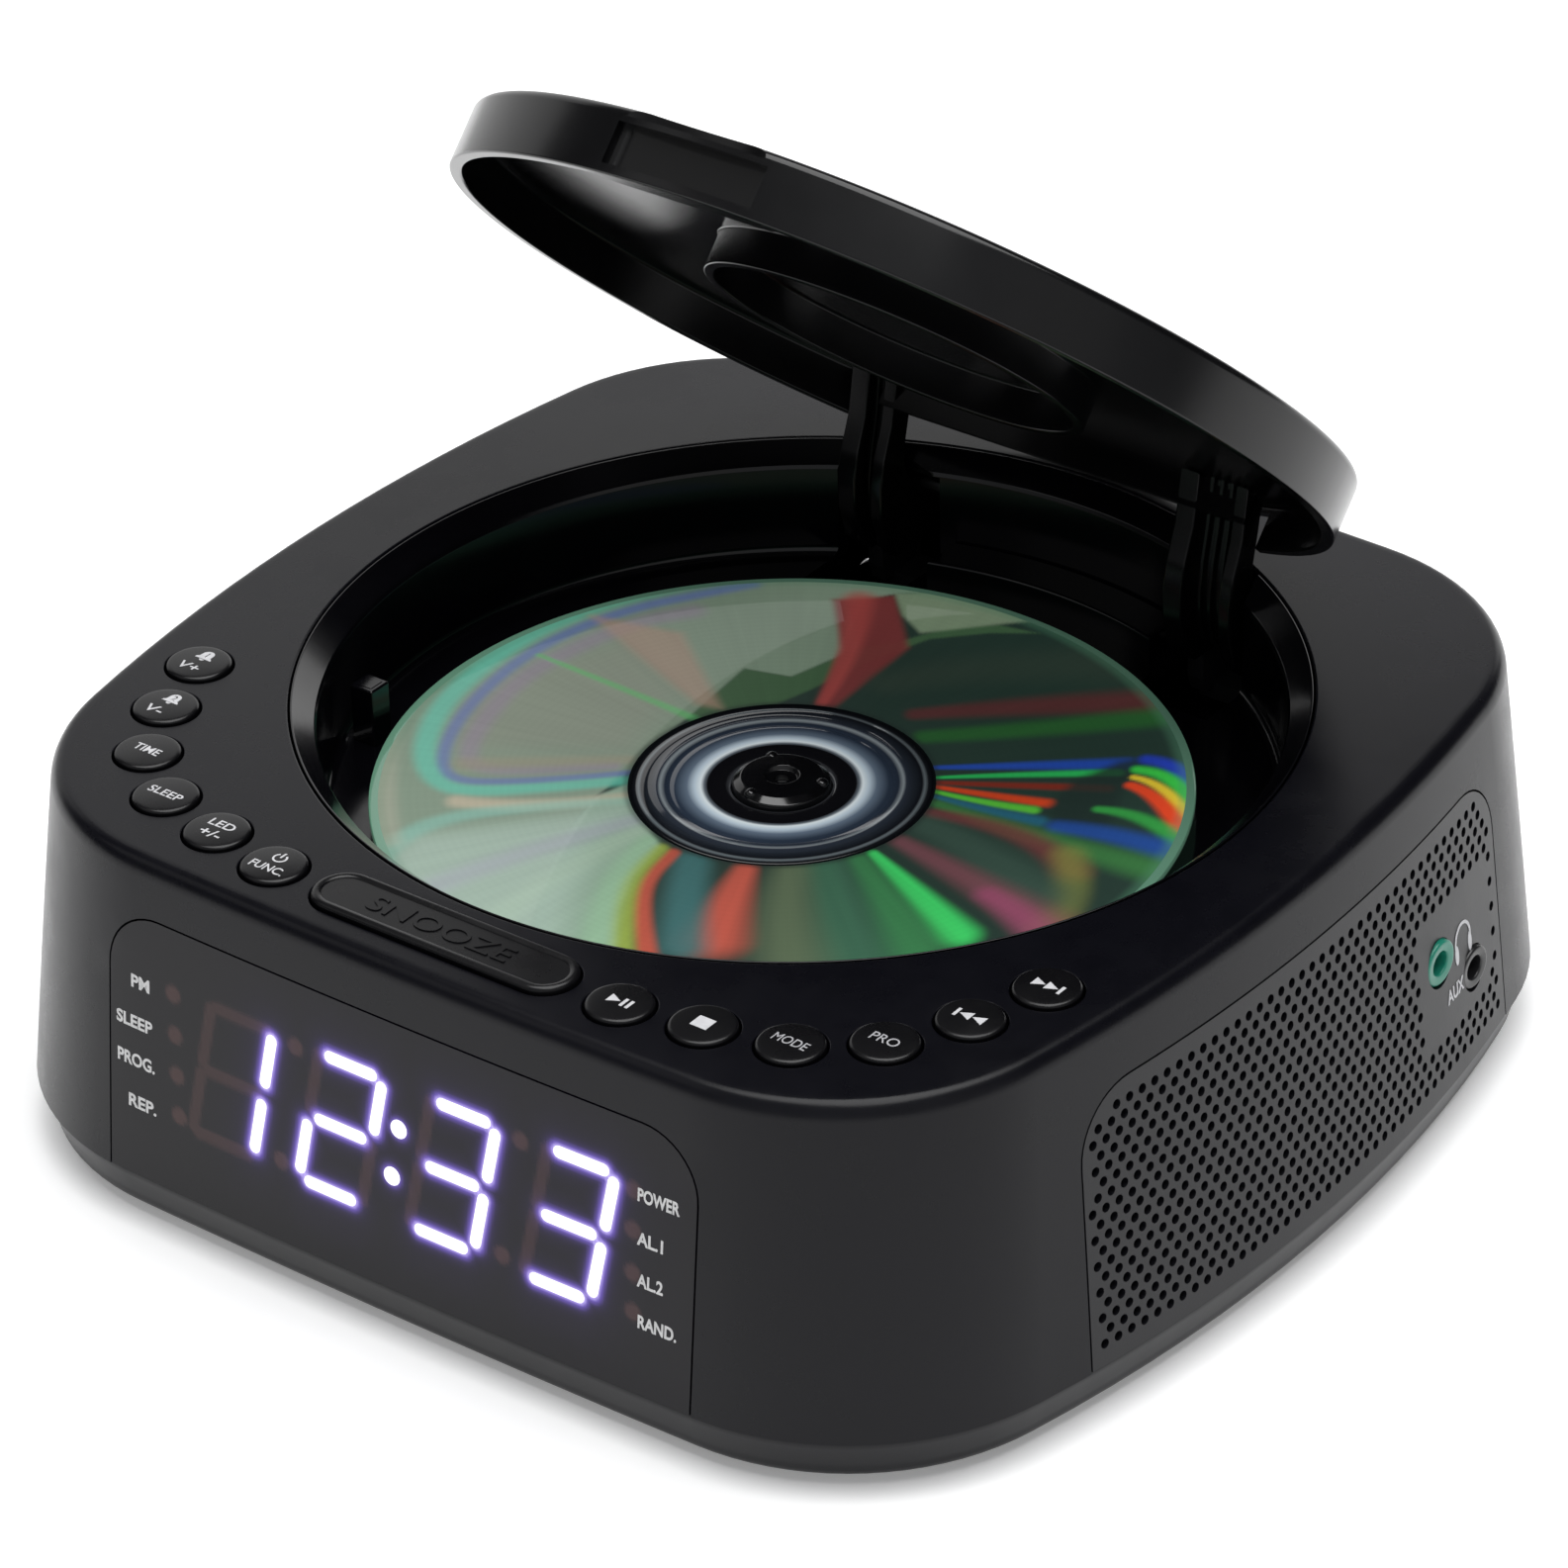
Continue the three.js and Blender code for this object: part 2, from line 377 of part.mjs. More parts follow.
// ---------------------------------------------------------------- lid (built closed, then swung open)
const leaf = sub(hinge);
leaf.rotation.x = -OPEN_DEG * Math.PI / 180;
let lid = turned([[0, LID_SKIN_Z], [LID_RING_IN_R, LID_SKIN_Z], [LID_RING_IN_R, LID_RING_Z], [LID_RING_R, LID_RING_Z], [LID_RING_R, LID_SKIN_Z], [LID_IN_R, LID_SKIN_Z],
  [LID_IN_R, LID_RIM_Z], [LID_R, LID_RIM_Z], [LID_R, 61.4], [LID_R - 0.7, LID_TOP_Z], [0, LID_DOME_Z]], 56, 0, WELL_Y);
const gripY = WELL_Y - LID_R;
lid = lid.add(box(-14.5, 14.5, gripY + 3.0, gripY + 6.2, LID_RIM_Z + 0.1, 60).intersect(turned([[0, 50], [LID_R - 1, 50], [LID_R - 1, 61], [0, 61]], 48, 0, WELL_Y)));
lid = cutAll(lid, [box(-12.5, 12.5, gripY - 1, gripY + 3.6, LID_RIM_Z + 1.4, 60.2)]);
// clearance the rear of the skirt needs to swing past the well's rim
const barrel = [[0, -41], [18.0, -41], [17.2, -37], [15.4, -33], [13.4, -27], [12.4, -20], [11.8, -10], [11.6, 0], [11.8, 10], [12.4, 20], [13.4, 27], [15.4, 33], [17.2, 37], [18.0, 41], [0, 41]];
lid = lid.subtract(turnedX(barrel, 32, HINGE_Y, HINGE_Z)).subtract(box(-ARM_X1 - 0.8, ARM_X1 + 0.8, 55, 80, 50, 58.0));
// straight stiffening wall between the two arms
lid = lid.add(box(-23.4, 23.4, 56.0, 57.6, 54.4, 60.2));
put('lid_shell', toHinge(lid), 'lid', leaf);

// goose-neck hinge arms, drawn in the open position [y, z]
const bossArc = (() => { const p = []; for (let i = 0; i <= 6; i++) { const t = (-100 + 190 * i / 6) * Math.PI / 180; p.push([HINGE_Y + 4.2 * Math.cos(t), HINGE_Z + 4.2 * Math.sin(t)]); } return p; })();
const armPts = [[67.5, 74.6], [66.0, 66.2], [64.0, 61.2], [62.9, 56.5], [62.9, 51.4], [64.5, 45.5], [67.2, 42.8], [72.0, 42.4], [76.0, 44.2], ...bossArc, [74.5, 53.8], [71.2, 54.8], [69.4, 57.2], [69.4, 61.4], [70.4, 65.4], [71.6, 70.7]];
const armHollow = [[60, 78], [60, 48.5], [66.6, 48.5], [66.2, 51.4], [66.2, 56.5], [66.8, 60.6], [68.2, 65.8], [69.2, 74.0], [69.2, 78]];
for (const s of [-1, 1]) {
  const x0 = s > 0 ? ARM_X0 : -ARM_X1, x1 = x0 + (s > 0 ? 12 : 8.4);
  const arm = cutAll(prismX(armPts, x0, x1), [prismX(armHollow, x0 + 3.4, x1 - 2.2), cylX(x0 - 1, x1 + 1, HINGE_Y, HINGE_Z, 1.75, 16)]);
  put('hinge_arm_' + (s > 0 ? 'right' : 'left'), toHinge(arm), 'lid', hinge);
  const inner = s > 0 ? ARM_X0 : -ARM_X0;
  put('hinge_pin_' + (s > 0 ? 'right' : 'left'), s > 0 ? cylX(14, 39.7, HINGE_Y, HINGE_Z, 1.62, 16) : cylX(-39.7, -14, HINGE_Y, HINGE_Z, 1.62, 16), 'steel');
  const lug = (xa, xb) => prismX([[76.4, 31.4], [85.4, 31.4], [85.4, 50], [83.2, 53.2], [76.8, 53.2], [75.4, 49], [75.4, 34]], xa, xb);
  const c = (ARM_X0 + ARM_X1) / 2 * s;
  put('hinge_bracket_' + (s > 0 ? 'right' : 'left'), addAll([
    lug(c - 9.4, c - 6.6), lug(c + 6.6, c + 9.4), box(c - 9.4, c + 9.4, 78.6, 85.4, 29, 32), box(c - 4, c + 4, 78.8, 85.2, 4.5, 29.1)
  ]).subtract(cylX(c - 11, c + 11, HINGE_Y, HINGE_Z, 1.72, 16)), 'chassis');
}
// torsion spring on the left pin
const coil = (() => {
  const pts = [], turns = 3, per = 10;
  for (let i = 0; i <= turns * per; i++) { const t = 2 * Math.PI * i / per; pts.push(new THREE.Vector3(-20.0 + 4.6 * i / (turns * per), HINGE_Y + 2.5 * Math.cos(t), HINGE_Z + 2.5 * Math.sin(t))); }
  const curve = new THREE.CatmullRomCurve3(pts);
  const sec = new THREE.Shape(Array.from({ length: 4 }, (_, i) => V2(0.45 * Math.cos(i * Math.PI / 2), 0.45 * Math.sin(i * Math.PI / 2))));
  const g = new THREE.ExtrudeGeometry(sec, { steps: turns * per, bevelEnabled: false, extrudePath: curve });
  return fixOut(toM(g), g);
})();
put('lid_spring', coil, 'steel', mechanism);

// ---------------------------------------------------------------- disc, spindle, mechanism
put('compact_disc', onPlatter(turned([[DISC_HOLE_R, DISC_TOP - DISC_T], [DISC_R, DISC_TOP - DISC_T], [DISC_R, DISC_TOP], [DISC_HOLE_R, DISC_TOP], [DISC_HOLE_R, DISC_TOP - DISC_T]], 56)), 'disc', platter);
const balls = [0, 1, 2].map(i => { const t = (20 + 120 * i) * Math.PI / 180; const g = new THREE.SphereGeometry(0.95, 8, 5); g.rotateX(Math.PI / 2); g.translate(6.1 * Math.cos(t), 6.1 * Math.sin(t), 46.35); return toM(g); });
put('turntable', onPlatter(addAll([turned([[1.06, 40.2], [4.2, 40.2], [4.2, 42.4], [TABLE_R, 42.4], [TABLE_R, 44.15], [HUB_R, 44.15], [HUB_R, 46.0], [6.2, 46.9], [1.06, 47.1], [1.06, 40.2]], 24), ...balls])), 'hub', platter);
put('spindle_motor', addAll([cylZ(0, 0, 26.5, 37.6, 11.0, 24), cylZ(0, 0, 37.5, 39.2, 3.2, 16), cylZ(0, 0, 39.1, 45.4, 1.0, 12)]), 'motor', mechanism);
put('mech_chassis', cutAll(addAll([
  box(-30, 70, -28, 28, 28.6, 30.8), box(31, 49, 20, 35, 28.6, 30.8),
  ...[-15, 15].map(y => box(13.2, 15.4, y - 3, y + 3, 30.7, 38.4)), ...[-15, 15].map(y => box(66.4, 68.6, y - 3, y + 3, 30.7, 38.4)),
  ...DAMPER_POS.map(([x, y]) => cylZ(x, y, 30.7, 35.0, 3.4, 10))
]), [cylZ(0, 0, 20, 35, 11.4, 24), cylZ(GEAR_X, GEAR_Y, 20, 35, 1.5, 12), cylX(10, 70, -15, 36, 1.31, 12), cylX(10, 70, 15, 36, 1.31, 12), box(17, 58, -10, 10, 20, 35)]), 'chassis', mechanism);
DAMPER_POS.forEach(([x, y], i) => put('damper_' + (i + 1), turned([[0, 35.1], [4, 35.1], [3, 37.2], [4, 39.3], [0, 39.3]], 12, x, y), 'rubber', mechanism));
put('guide_rod_front', cylX(13.0, 69.0, -15, 36, 1.25, 12), 'steel', mechanism);
put('guide_rod_back', cylX(13.0, 69.0, 15, 36, 1.25, 12), 'steel', mechanism);
// pickup sled with its rack on the back edge
const rackLine = GEAR_Y - PITCH_R;
const rackPts = (() => {
  const p = [[4.4, rackLine - 1.9], [43.0, rackLine - 1.9], [43.0, rackLine - 0.85]];
  for (let k = 0; k >= -15; k--) {
    const c = GEAR_X + (k + 0.5) * RACK_P;
    p.push([c + 0.75, rackLine - 0.85], [c + 0.3, rackLine + 0.45], [c - 0.3, rackLine + 0.45], [c - 0.75, rackLine - 0.85]);
  }
  p.push([4.4, rackLine - 0.85]);
  return p;
})();
put('pickup_sled', addAll([
  box(SLED_X, 31.6, -17.6, 17.6, 33.4, 38.8), box(16.6, 31.4, -7.6, 7.6, 38.7, 41.6), box(SLED_X, 31.6, 17.4, 19.4, 33.4, 35.4),
  prismZ(rackPts.map(p => [p[0], p[1]]), 33.4, 35.4)
]).subtract(addAll([cylX(10, 90, -15, 36, 1.32, 12), cylX(10, 90, 15, 36, 1.32, 12), cylZ(24, 0, 39.9, 44, 3.6, 16)])), 'jack');
put('objective_lens', turned([[0, 40.1], [3.2, 40.1], [3.2, 42.2], [2.4, 42.5], [1.4, 42.75], [0, 42.85]], 16, 24, 0), 'optic', mechanism);
const gearPts = (() => {
  const p = [];
  for (let i = 0; i < TEETH; i++) {
    const c = -Math.PI / 2 + i * 2 * Math.PI / TEETH, r0 = PITCH_R - 0.85, r1 = PITCH_R + 0.4;
    for (const [r, w] of [[r0, -0.74], [r1, -0.28], [r1, 0.28], [r0, 0.74]]) { const a = c + w / r; p.push([GEAR_X + r * Math.cos(a), GEAR_Y + r * Math.sin(a)]); }
  }
  return p;
})();
put('sled_gear', addAll([prismZ(gearPts, 33.3, 35.5), cylZ(GEAR_X, GEAR_Y, 31.4, 33.4, 3.6, 16)]).subtract(cylZ(GEAR_X, GEAR_Y, 30, 37, 1.06, 12)), 'white', mechanism);
put('sled_motor', addAll([cylZ(GEAR_X, GEAR_Y + 0, 19.5, 28.2, 6.5, 20), cylZ(GEAR_X, GEAR_Y, 28.1, 36.6, 1.0, 12)]), 'motor', mechanism);

export default group;
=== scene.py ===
import bpy, bmesh, math
import numpy as np
from mathutils import Matrix, Vector
from mathutils.geometry import delaunay_2d_cdt


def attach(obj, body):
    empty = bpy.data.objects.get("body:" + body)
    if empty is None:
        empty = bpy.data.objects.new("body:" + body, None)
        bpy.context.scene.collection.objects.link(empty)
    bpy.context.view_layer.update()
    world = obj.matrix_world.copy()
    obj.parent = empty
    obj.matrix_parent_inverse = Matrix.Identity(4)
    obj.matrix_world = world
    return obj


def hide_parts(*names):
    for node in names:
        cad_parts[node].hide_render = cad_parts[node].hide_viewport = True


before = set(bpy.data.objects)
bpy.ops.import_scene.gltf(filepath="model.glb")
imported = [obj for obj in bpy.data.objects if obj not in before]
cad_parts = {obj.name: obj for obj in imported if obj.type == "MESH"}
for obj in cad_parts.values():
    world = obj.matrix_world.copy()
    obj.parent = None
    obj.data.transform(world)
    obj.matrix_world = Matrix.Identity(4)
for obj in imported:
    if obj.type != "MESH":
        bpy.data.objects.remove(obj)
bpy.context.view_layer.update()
scene = bpy.context.scene
MM = 0.001

# ------------------------------------------------------------------ camera
AZ, EL, DIST, ROLL = 0.6517669507, 0.5517114057, 948.34, -0.0239996
TARGET = Vector((0.3734, 0.0264, 45.5)) * MM
back = Vector((math.sin(AZ) * math.cos(EL), -math.cos(AZ) * math.cos(EL), math.sin(EL)))
right = (-back).cross(Vector((0, 0, 1))).normalized()
up = right.cross(-back)
r2 = right * math.cos(ROLL) + up * math.sin(ROLL)
u2 = -right * math.sin(ROLL) + up * math.cos(ROLL)
cam_data = bpy.data.cameras.new("camera")
cam = bpy.data.objects.new("camera", cam_data)
scene.collection.objects.link(cam)
cam_data.sensor_width = 36.0
cam_data.lens = 6609.48 / 1585.0 * 36.0
cam_data.clip_start, cam_data.clip_end = 0.05, 20.0
m = Matrix((r2, u2, back)).transposed().to_4x4()
m.translation = TARGET + back * (DIST * MM)
cam.matrix_world = m
scene.camera = cam

# ------------------------------------------------------------------ dimensions, mm
Z_TOP, Z_PART, Z_BASE, WALL = 60.0, 9.2, 2.0, 2.2
PLAN_TOP = dict(a=88.6, yf=-86.5, yb=88.6, rs=317.0, rf=1500.0, rc=37.0)
PLAN_PART = dict(a=95.6, yf=-91.4, yb=91.6, rs=262.0, rf=1900.0, rc=39.5)
PLAN_BASE = dict(a=93.6, yf=-89.6, yb=89.8, rs=262.0, rf=1900.0, rc=38.0)
SIDE_MID = 2.3
EDGE_IN = 1.7
DISC_TOP, DISC_T = 45.5, 1.2
WELL_Y, WELL_RIM_R, WELL_R, WELL_OUT_R = 5.2, 73.8, 70.2, 72.2
WELL_FLOOR, WELL_UNDER, CHAMFER_Z = 41.5, 39.5, 57.0
LID_R, LID_IN_R, LID_RIM_Z, LID_SKIN_Z, LID_TOP_Z, LID_DOME_Z = 68.8, 66.8, 52.3, 59.4, 62.1, 62.7
HINGE_Y, HINGE_Z, OPEN = 80.0, 49.2, math.radians(43.4)
BTN = [(30.3, -76.5), (42.6, -74.3), (54.8, -71.2), (64.8, -63.7), (70.9, -52.8), (75.0, -40.8)]
BTN_R, BTN_TOP = 4.8, 60.75
SN_Y, SN_HALF, SN_R, SN_TOP = -76.4, 17.5, 4.8, 60.95
WIN_X0, WIN_X1, WIN_TOP, WIN_R = -52.9, 51.1, 51.3, 9.5
GR_Y0, GR_Y1, GR_TOP, GR_R, GR_LEAN = -49.0, 55.4, 50.4, 10.0, 2.7
HP, AUX = (34.6, 29.7), (45.2, 23.1)


# ------------------------------------------------------------------ materials
def nt(mat):
    mat.use_nodes = True
    t = mat.node_tree
    t.nodes.clear()
    return t


def link(t, a, b):
    t.links.new(a, b)


def math_node(t, op, a, b=None, clamp=False):
    n = t.nodes.new("ShaderNodeMath")
    n.operation = op
    n.use_clamp = clamp
    for i, v in enumerate((a, b)):
        if v is None:
            continue
        if isinstance(v, (int, float)):
            n.inputs[i].default_value = v
        else:
            link(t, v, n.inputs[i])
    return n.outputs[0]


def ramp(t, fac, stops, interp="LINEAR"):
    n = t.nodes.new("ShaderNodeValToRGB")
    n.color_ramp.interpolation = interp
    e = n.color_ramp.elements
    while len(e) > 1:
        e.remove(e[-1])
    e[0].position = stops[0][0]
    e[0].color = (*stops[0][1], 1) if len(stops[0][1]) == 3 else stops[0][1]
    for p, c in stops[1:]:
        x = e.new(p)
        x.color = (*c, 1) if len(c) == 3 else c
    link(t, fac, n.inputs[0])
    return n.outputs[0]


def coords(t):
    return t.nodes.new("ShaderNodeTexCoord").outputs["Object"]


def noise(t, vec, scale, detail=2.0, rough=0.5):
    n = t.nodes.new("ShaderNodeTexNoise")
    n.inputs["Scale"].default_value = scale
    n.inputs["Detail"].default_value = detail
    n.inputs["Roughness"].default_value = rough
    link(t, vec, n.inputs["Vector"])
    return n.outputs[0]


def plastic(name, col, rough, spec=0.5, grain=2600.0, grain_d=0.000012, grain_s=0.25, tone=0.18,
            rough_var=0.06, coat=0.0, coat_rough=0.1, smudge=0.0, bevel=0.0, metallic=0.0):
    """Moulded plastic: two close tones, fine grain bump, uneven gloss and faint handling marks."""
    mat = bpy.data.materials.new(name)
    t = nt(mat)
    out = t.nodes.new("ShaderNodeOutputMaterial")
    b = t.nodes.new("ShaderNodeBsdfPrincipled")
    link(t, b.outputs[0], out.inputs[0])
    c = coords(t)
    big = noise(t, c, 14.0, 3.0)
    mid = noise(t, c, 160.0, 4.0, 0.6)
    lo = tuple(x * (1 - tone) for x in col)
    hi = tuple(min(1.0, x * (1 + tone)) for x in col)
    mixv = math_node(t, "ADD", math_node(t, "MULTIPLY", big, 0.6), math_node(t, "MULTIPLY", mid, 0.4))
    link(t, ramp(t, mixv, [(0.35, lo), (0.65, hi)]), b.inputs["Base Color"])
    rv = math_node(t, "MULTIPLY", math_node(t, "SUBTRACT", mixv, 0.5), rough_var * 4)
    r = math_node(t, "ADD", rv, rough, clamp=True)
    if smudge > 0:
        s = noise(t, c, 45.0, 5.0, 0.65)
        sm = ramp(t, s, [(0.52, (0, 0, 0)), (0.72, (1, 1, 1))])
        r = math_node(t, "ADD", r, math_node(t, "MULTIPLY", sm, smudge), clamp=True)
    link(t, r, b.inputs["Roughness"])
    b.inputs["Metallic"].default_value = metallic
    b.inputs["Specular IOR Level"].default_value = spec
    b.inputs["Coat Weight"].default_value = coat
    b.inputs["Coat Roughness"].default_value = coat_rough
    if grain > 0:
        g = noise(t, c, grain, 2.0, 0.6)
        bp = t.nodes.new("ShaderNodeBump")
        bp.inputs["Strength"].default_value = grain_s
        bp.inputs["Distance"].default_value = grain_d
        link(t, g, bp.inputs["Height"])
        if bevel > 0:
            bv = t.nodes.new("ShaderNodeBevel")
            bv.samples = 4
            bv.inputs["Radius"].default_value = bevel
            link(t, bv.outputs[0], bp.inputs["Normal"])
        link(t, bp.outputs[0], b.inputs["Normal"])
    return mat


def metal(name, col, rough, aniso_scale=None):
    mat = bpy.data.materials.new(name)
    t = nt(mat)
    out = t.nodes.new("ShaderNodeOutputMaterial")
    b = t.nodes.new("ShaderNodeBsdfPrincipled")
    link(t, b.outputs[0], out.inputs[0])
    b.inputs["Metallic"].default_value = 1.0
    c = coords(t)
    mp = t.nodes.new("ShaderNodeMapping")
    mp.inputs["Scale"].default_value = (60, 60, 900)
    link(t, c, mp.inputs["Vector"])
    n = noise(t, mp.outputs[0], 6.0, 4.0, 0.6)
    link(t, ramp(t, n, [(0.3, tuple(x * 0.85 for x in col)), (0.7, col)]), b.inputs["Base Color"])
    link(t, math_node(t, "ADD", math_node(t, "MULTIPLY", n, 0.2), rough - 0.1, clamp=True), b.inputs["Roughness"])
    bp = t.nodes.new("ShaderNodeBump")
    bp.inputs["Strength"].default_value = 0.15
    bp.inputs["Distance"].default_value = 0.00002
    link(t, n, bp.inputs["Height"])
    link(t, bp.outputs[0], b.inputs["Normal"])
    return mat


def printed(name, col, rough=0.55, emit=0.0):
    """Screen-printed ink with slight unevenness."""
    mat = bpy.data.materials.new(name)
    t = nt(mat)
    out = t.nodes.new("ShaderNodeOutputMaterial")
    b = t.nodes.new("ShaderNodeBsdfPrincipled")
    link(t, b.outputs[0], out.inputs[0])
    c = coords(t)
    n = noise(t, c, 900.0, 3.0, 0.6)
    link(t, ramp(t, n, [(0.3, tuple(x * 0.86 for x in col)), (0.6, col)]), b.inputs["Base Color"])
    b.inputs["Roughness"].default_value = rough
    if emit > 0:
        b.inputs["Emission Color"].default_value = (*col, 1)
        b.inputs["Emission Strength"].default_value = emit
    return mat


M = {}
M["case"] = plastic("matte_case_plastic", (0.0025, 0.0025, 0.0043), 0.27, spec=0.22, grain=2400, grain_d=0.00002, grain_s=0.35, smudge=0.05, bevel=0.0)
M["base"] = plastic("base_plastic", (0.0029, 0.0029, 0.0046), 0.34, spec=0.25, grain=2400, grain_d=0.00002, grain_s=0.35)
M["gloss"] = plastic("well_gloss_plastic", (0.0018, 0.0017, 0.0026), 0.14, spec=0.42, grain=700, grain_d=0.00002, grain_s=0.12, rough_var=0.03, smudge=0.05)
M["lid"] = plastic("lid_gloss_plastic", (0.0026, 0.0026, 0.0030), 0.19, spec=0.38, grain=900, grain_d=0.00001, grain_s=0.08, rough_var=0.03, smudge=0.03)
M["lid_in"] = plastic("lid_inner_plastic", (0.0035, 0.0035, 0.0038), 0.2, spec=0.5, grain=900, grain_d=0.00001, grain_s=0.1, rough_var=0.03, smudge=0.05)
M["lens"] = plastic("window_plastic", (0.0033, 0.0029, 0.0046), 0.22, spec=0.24, grain=1800, grain_d=0.000008, grain_s=0.15, rough_var=0.02)
M["grille"] = plastic("grille_plastic", (0.0035, 0.0035, 0.0052), 0.33, spec=0.36, grain=2400, grain_d=0.00002, grain_s=0.35)
M["key"] = plastic("key_plastic", (0.0028, 0.0027, 0.0034), 0.26, spec=0.33, grain=1800, grain_d=0.00001, grain_s=0.2, smudge=0.08)
M["dark"] = plastic("shadow_gap_plastic", (0.003, 0.003, 0.003), 0.7, spec=0.2, grain=1500)
M["ink"] = printed("legend_ink", (0.58, 0.58, 0.60))
M["ink_win"] = printed("window_legend_ink", (0.62, 0.62, 0.62))
M["ink_dim"] = printed("key_legend_ink", (0.42, 0.42, 0.44))
M["jack_green"] = plastic("green_collar", (0.012, 0.20, 0.135), 0.3, spec=0.5, grain=1500, grain_s=0.1, tone=0.1)
M["jack_black"] = plastic("black_collar", (0.012, 0.012, 0.013), 0.28, spec=0.5, grain=1500, grain_s=0.1)
M["hub"] = plastic("hub_gloss", (0.004, 0.004, 0.005), 0.12, spec=0.6, grain=700, grain_s=0.05, rough_var=0.02)
M["rubber"] = plastic("foot_rubber", (0.02, 0.02, 0.02), 0.85, spec=0.2, grain=1200, grain_d=0.00004, grain_s=0.4)
M["board"] = plastic("solder_mask", (0.012, 0.10, 0.035), 0.35, grain=500, grain_s=0.3)
M["cone"] = plastic("speaker_paper", (0.012, 0.012, 0.013), 0.9, spec=0.1, grain=1300, grain_d=0.00006, grain_s=0.6)
M["chassis"] = plastic("chassis_plastic", (0.03, 0.03, 0.033), 0.6, grain=1500)
M["white"] = plastic("gear_acetal", (0.68, 0.67, 0.62), 0.4, grain=900, grain_s=0.15, tone=0.06)
M["display"] = plastic("display_block", (0.02, 0.012, 0.01), 0.5, grain=900)
M["optic"] = plastic("lens_coating", (0.02, 0.04, 0.16), 0.06, spec=0.8, grain=0)
M["steel"] = metal("plated_steel", (0.62, 0.63, 0.64), 0.32)
M["cell"] = metal("cell_can", (0.45, 0.47, 0.48), 0.35)
M["brass"] = metal("contact_metal", (0.55, 0.50, 0.40), 0.3)


# ------------------------------------------------------------------ mesh helpers
def add_object(name, me, mats, body, replaces=(), sharp=32.0, wn=True, smooth=True):
    for x in mats if isinstance(mats, (list, tuple)) else [mats]:
        me.materials.append(x)
    ob = bpy.data.objects.new(name, me)
    scene.collection.objects.link(ob)
    if smooth:
        me.shade_smooth()
        me.set_sharp_from_angle(angle=math.radians(sharp))
    if wn:
        w = ob.modifiers.new("weighted", "WEIGHTED_NORMAL")
        w.keep_sharp = True
    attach(ob, body)
    if replaces:
        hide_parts(*replaces)
    return ob


def mesh_mm(name, verts, faces, mat_index=None, merge=0.002, recalc=True, flip=False):
    me = bpy.data.meshes.new(name)
    v = np.asarray(verts, float) * MM
    me.from_pydata([tuple(p) for p in v], [], [tuple(int(i) for i in f) for f in faces])
    if mat_index is not None:
        me.polygons.foreach_set("material_index", np.asarray(mat_index, np.int32))
    bm = bmesh.new()
    bm.from_mesh(me)
    if merge:
        bmesh.ops.remove_doubles(bm, verts=bm.verts, dist=merge * MM)
    if recalc:
        bmesh.ops.recalc_face_normals(bm, faces=bm.faces)
    if flip:
        bmesh.ops.reverse_faces(bm, faces=bm.faces)
    bm.to_mesh(me)
    bm.free()
    me.update()
    return me


class Bag:
    """Collects rings and faces in mm, then becomes one mesh."""

    def __init__(self):
        self.v, self.f, self.m = [], [], []

    def pts(self, p):
        i0 = len(self.v)
        self.v.extend([tuple(float(c) for c in q) for q in p])
        return list(range(i0, i0 + len(p)))

    def face(self, idx, m=0):
        self.f.append(tuple(idx))
        self.m.append(m)

    def strip(self, a, b, closed=True, m=0):
        n = len(a)
        for i in range(n if closed else n - 1):
            j = (i + 1) % n
            self.face((a[i], a[j], b[j], b[i]), m)

    def rings(self, rings, closed=True, m=0):
        ids = [self.pts(r) for r in rings]
        for a, b in zip(ids, ids[1:]):
            self.strip(a, b, closed, m)
        return ids

    def fan(self, ring, centre, m=0):
        c = self.pts([centre])[0]
        n = len(ring)
        for i in range(n):
            self.face((ring[i], ring[(i + 1) % n], c), m)

    def mesh(self, name, **kw):
        return mesh_mm(name, self.v, self.f, self.m, **kw)


def circle(cx, cy, r, n, z=None, a0=0.0):
    t = a0 + np.arange(n) * 2 * math.pi / n
    if z is None:
        return np.stack([cx + r * np.cos(t), cy + r * np.sin(t)], 1)
    return np.stack([cx + r * np.cos(t), cy + r * np.sin(t), np.full(n, z)], 1)


def lathe_rings(profile, n, cx=0.0, cy=0.0):
    return [circle(cx, cy, r, n, z) for r, z in profile]


def rounded(profile, radii, k=5):
    """Rounds the corners of an open polyline: radii per inner corner."""
    P = [np.array(p, float) for p in profile]
    out = [tuple(P[0])]
    for i in range(1, len(P) - 1):
        r = radii.get(i, 0) if isinstance(radii, dict) else radii
        a, b, c = P[i - 1], P[i], P[i + 1]
        if r <= 0:
            out.append(tuple(b))
            continue
        u, w = (a - b), (c - b)
        lu, lw = np.linalg.norm(u), np.linalg.norm(w)
        u, w = u / lu, w / lw
        ang = math.acos(max(-1, min(1, float(u @ w))))
        d = min(r / math.tan(ang / 2), lu * 0.48, lw * 0.48)
        rr = d * math.tan(ang / 2)
        bis = (u + w) / np.linalg.norm(u + w)
        cen = b + bis * (rr / math.sin(ang / 2))
        p0, p1 = b + u * d, b + w * d
        a0 = math.atan2(*(p0 - cen)[::-1])
        a1 = math.atan2(*(p1 - cen)[::-1])
        da = (a1 - a0 + math.pi) % (2 * math.pi) - math.pi
        for j in range(k + 1):
            t = a0 + da * j / k
            out.append((cen[0] + rr * math.cos(t), cen[1] + rr * math.sin(t)))
    out.append(tuple(P[-1]))
    return out


# plan outline family, the same one the frame was built from
_plan_cache = {}


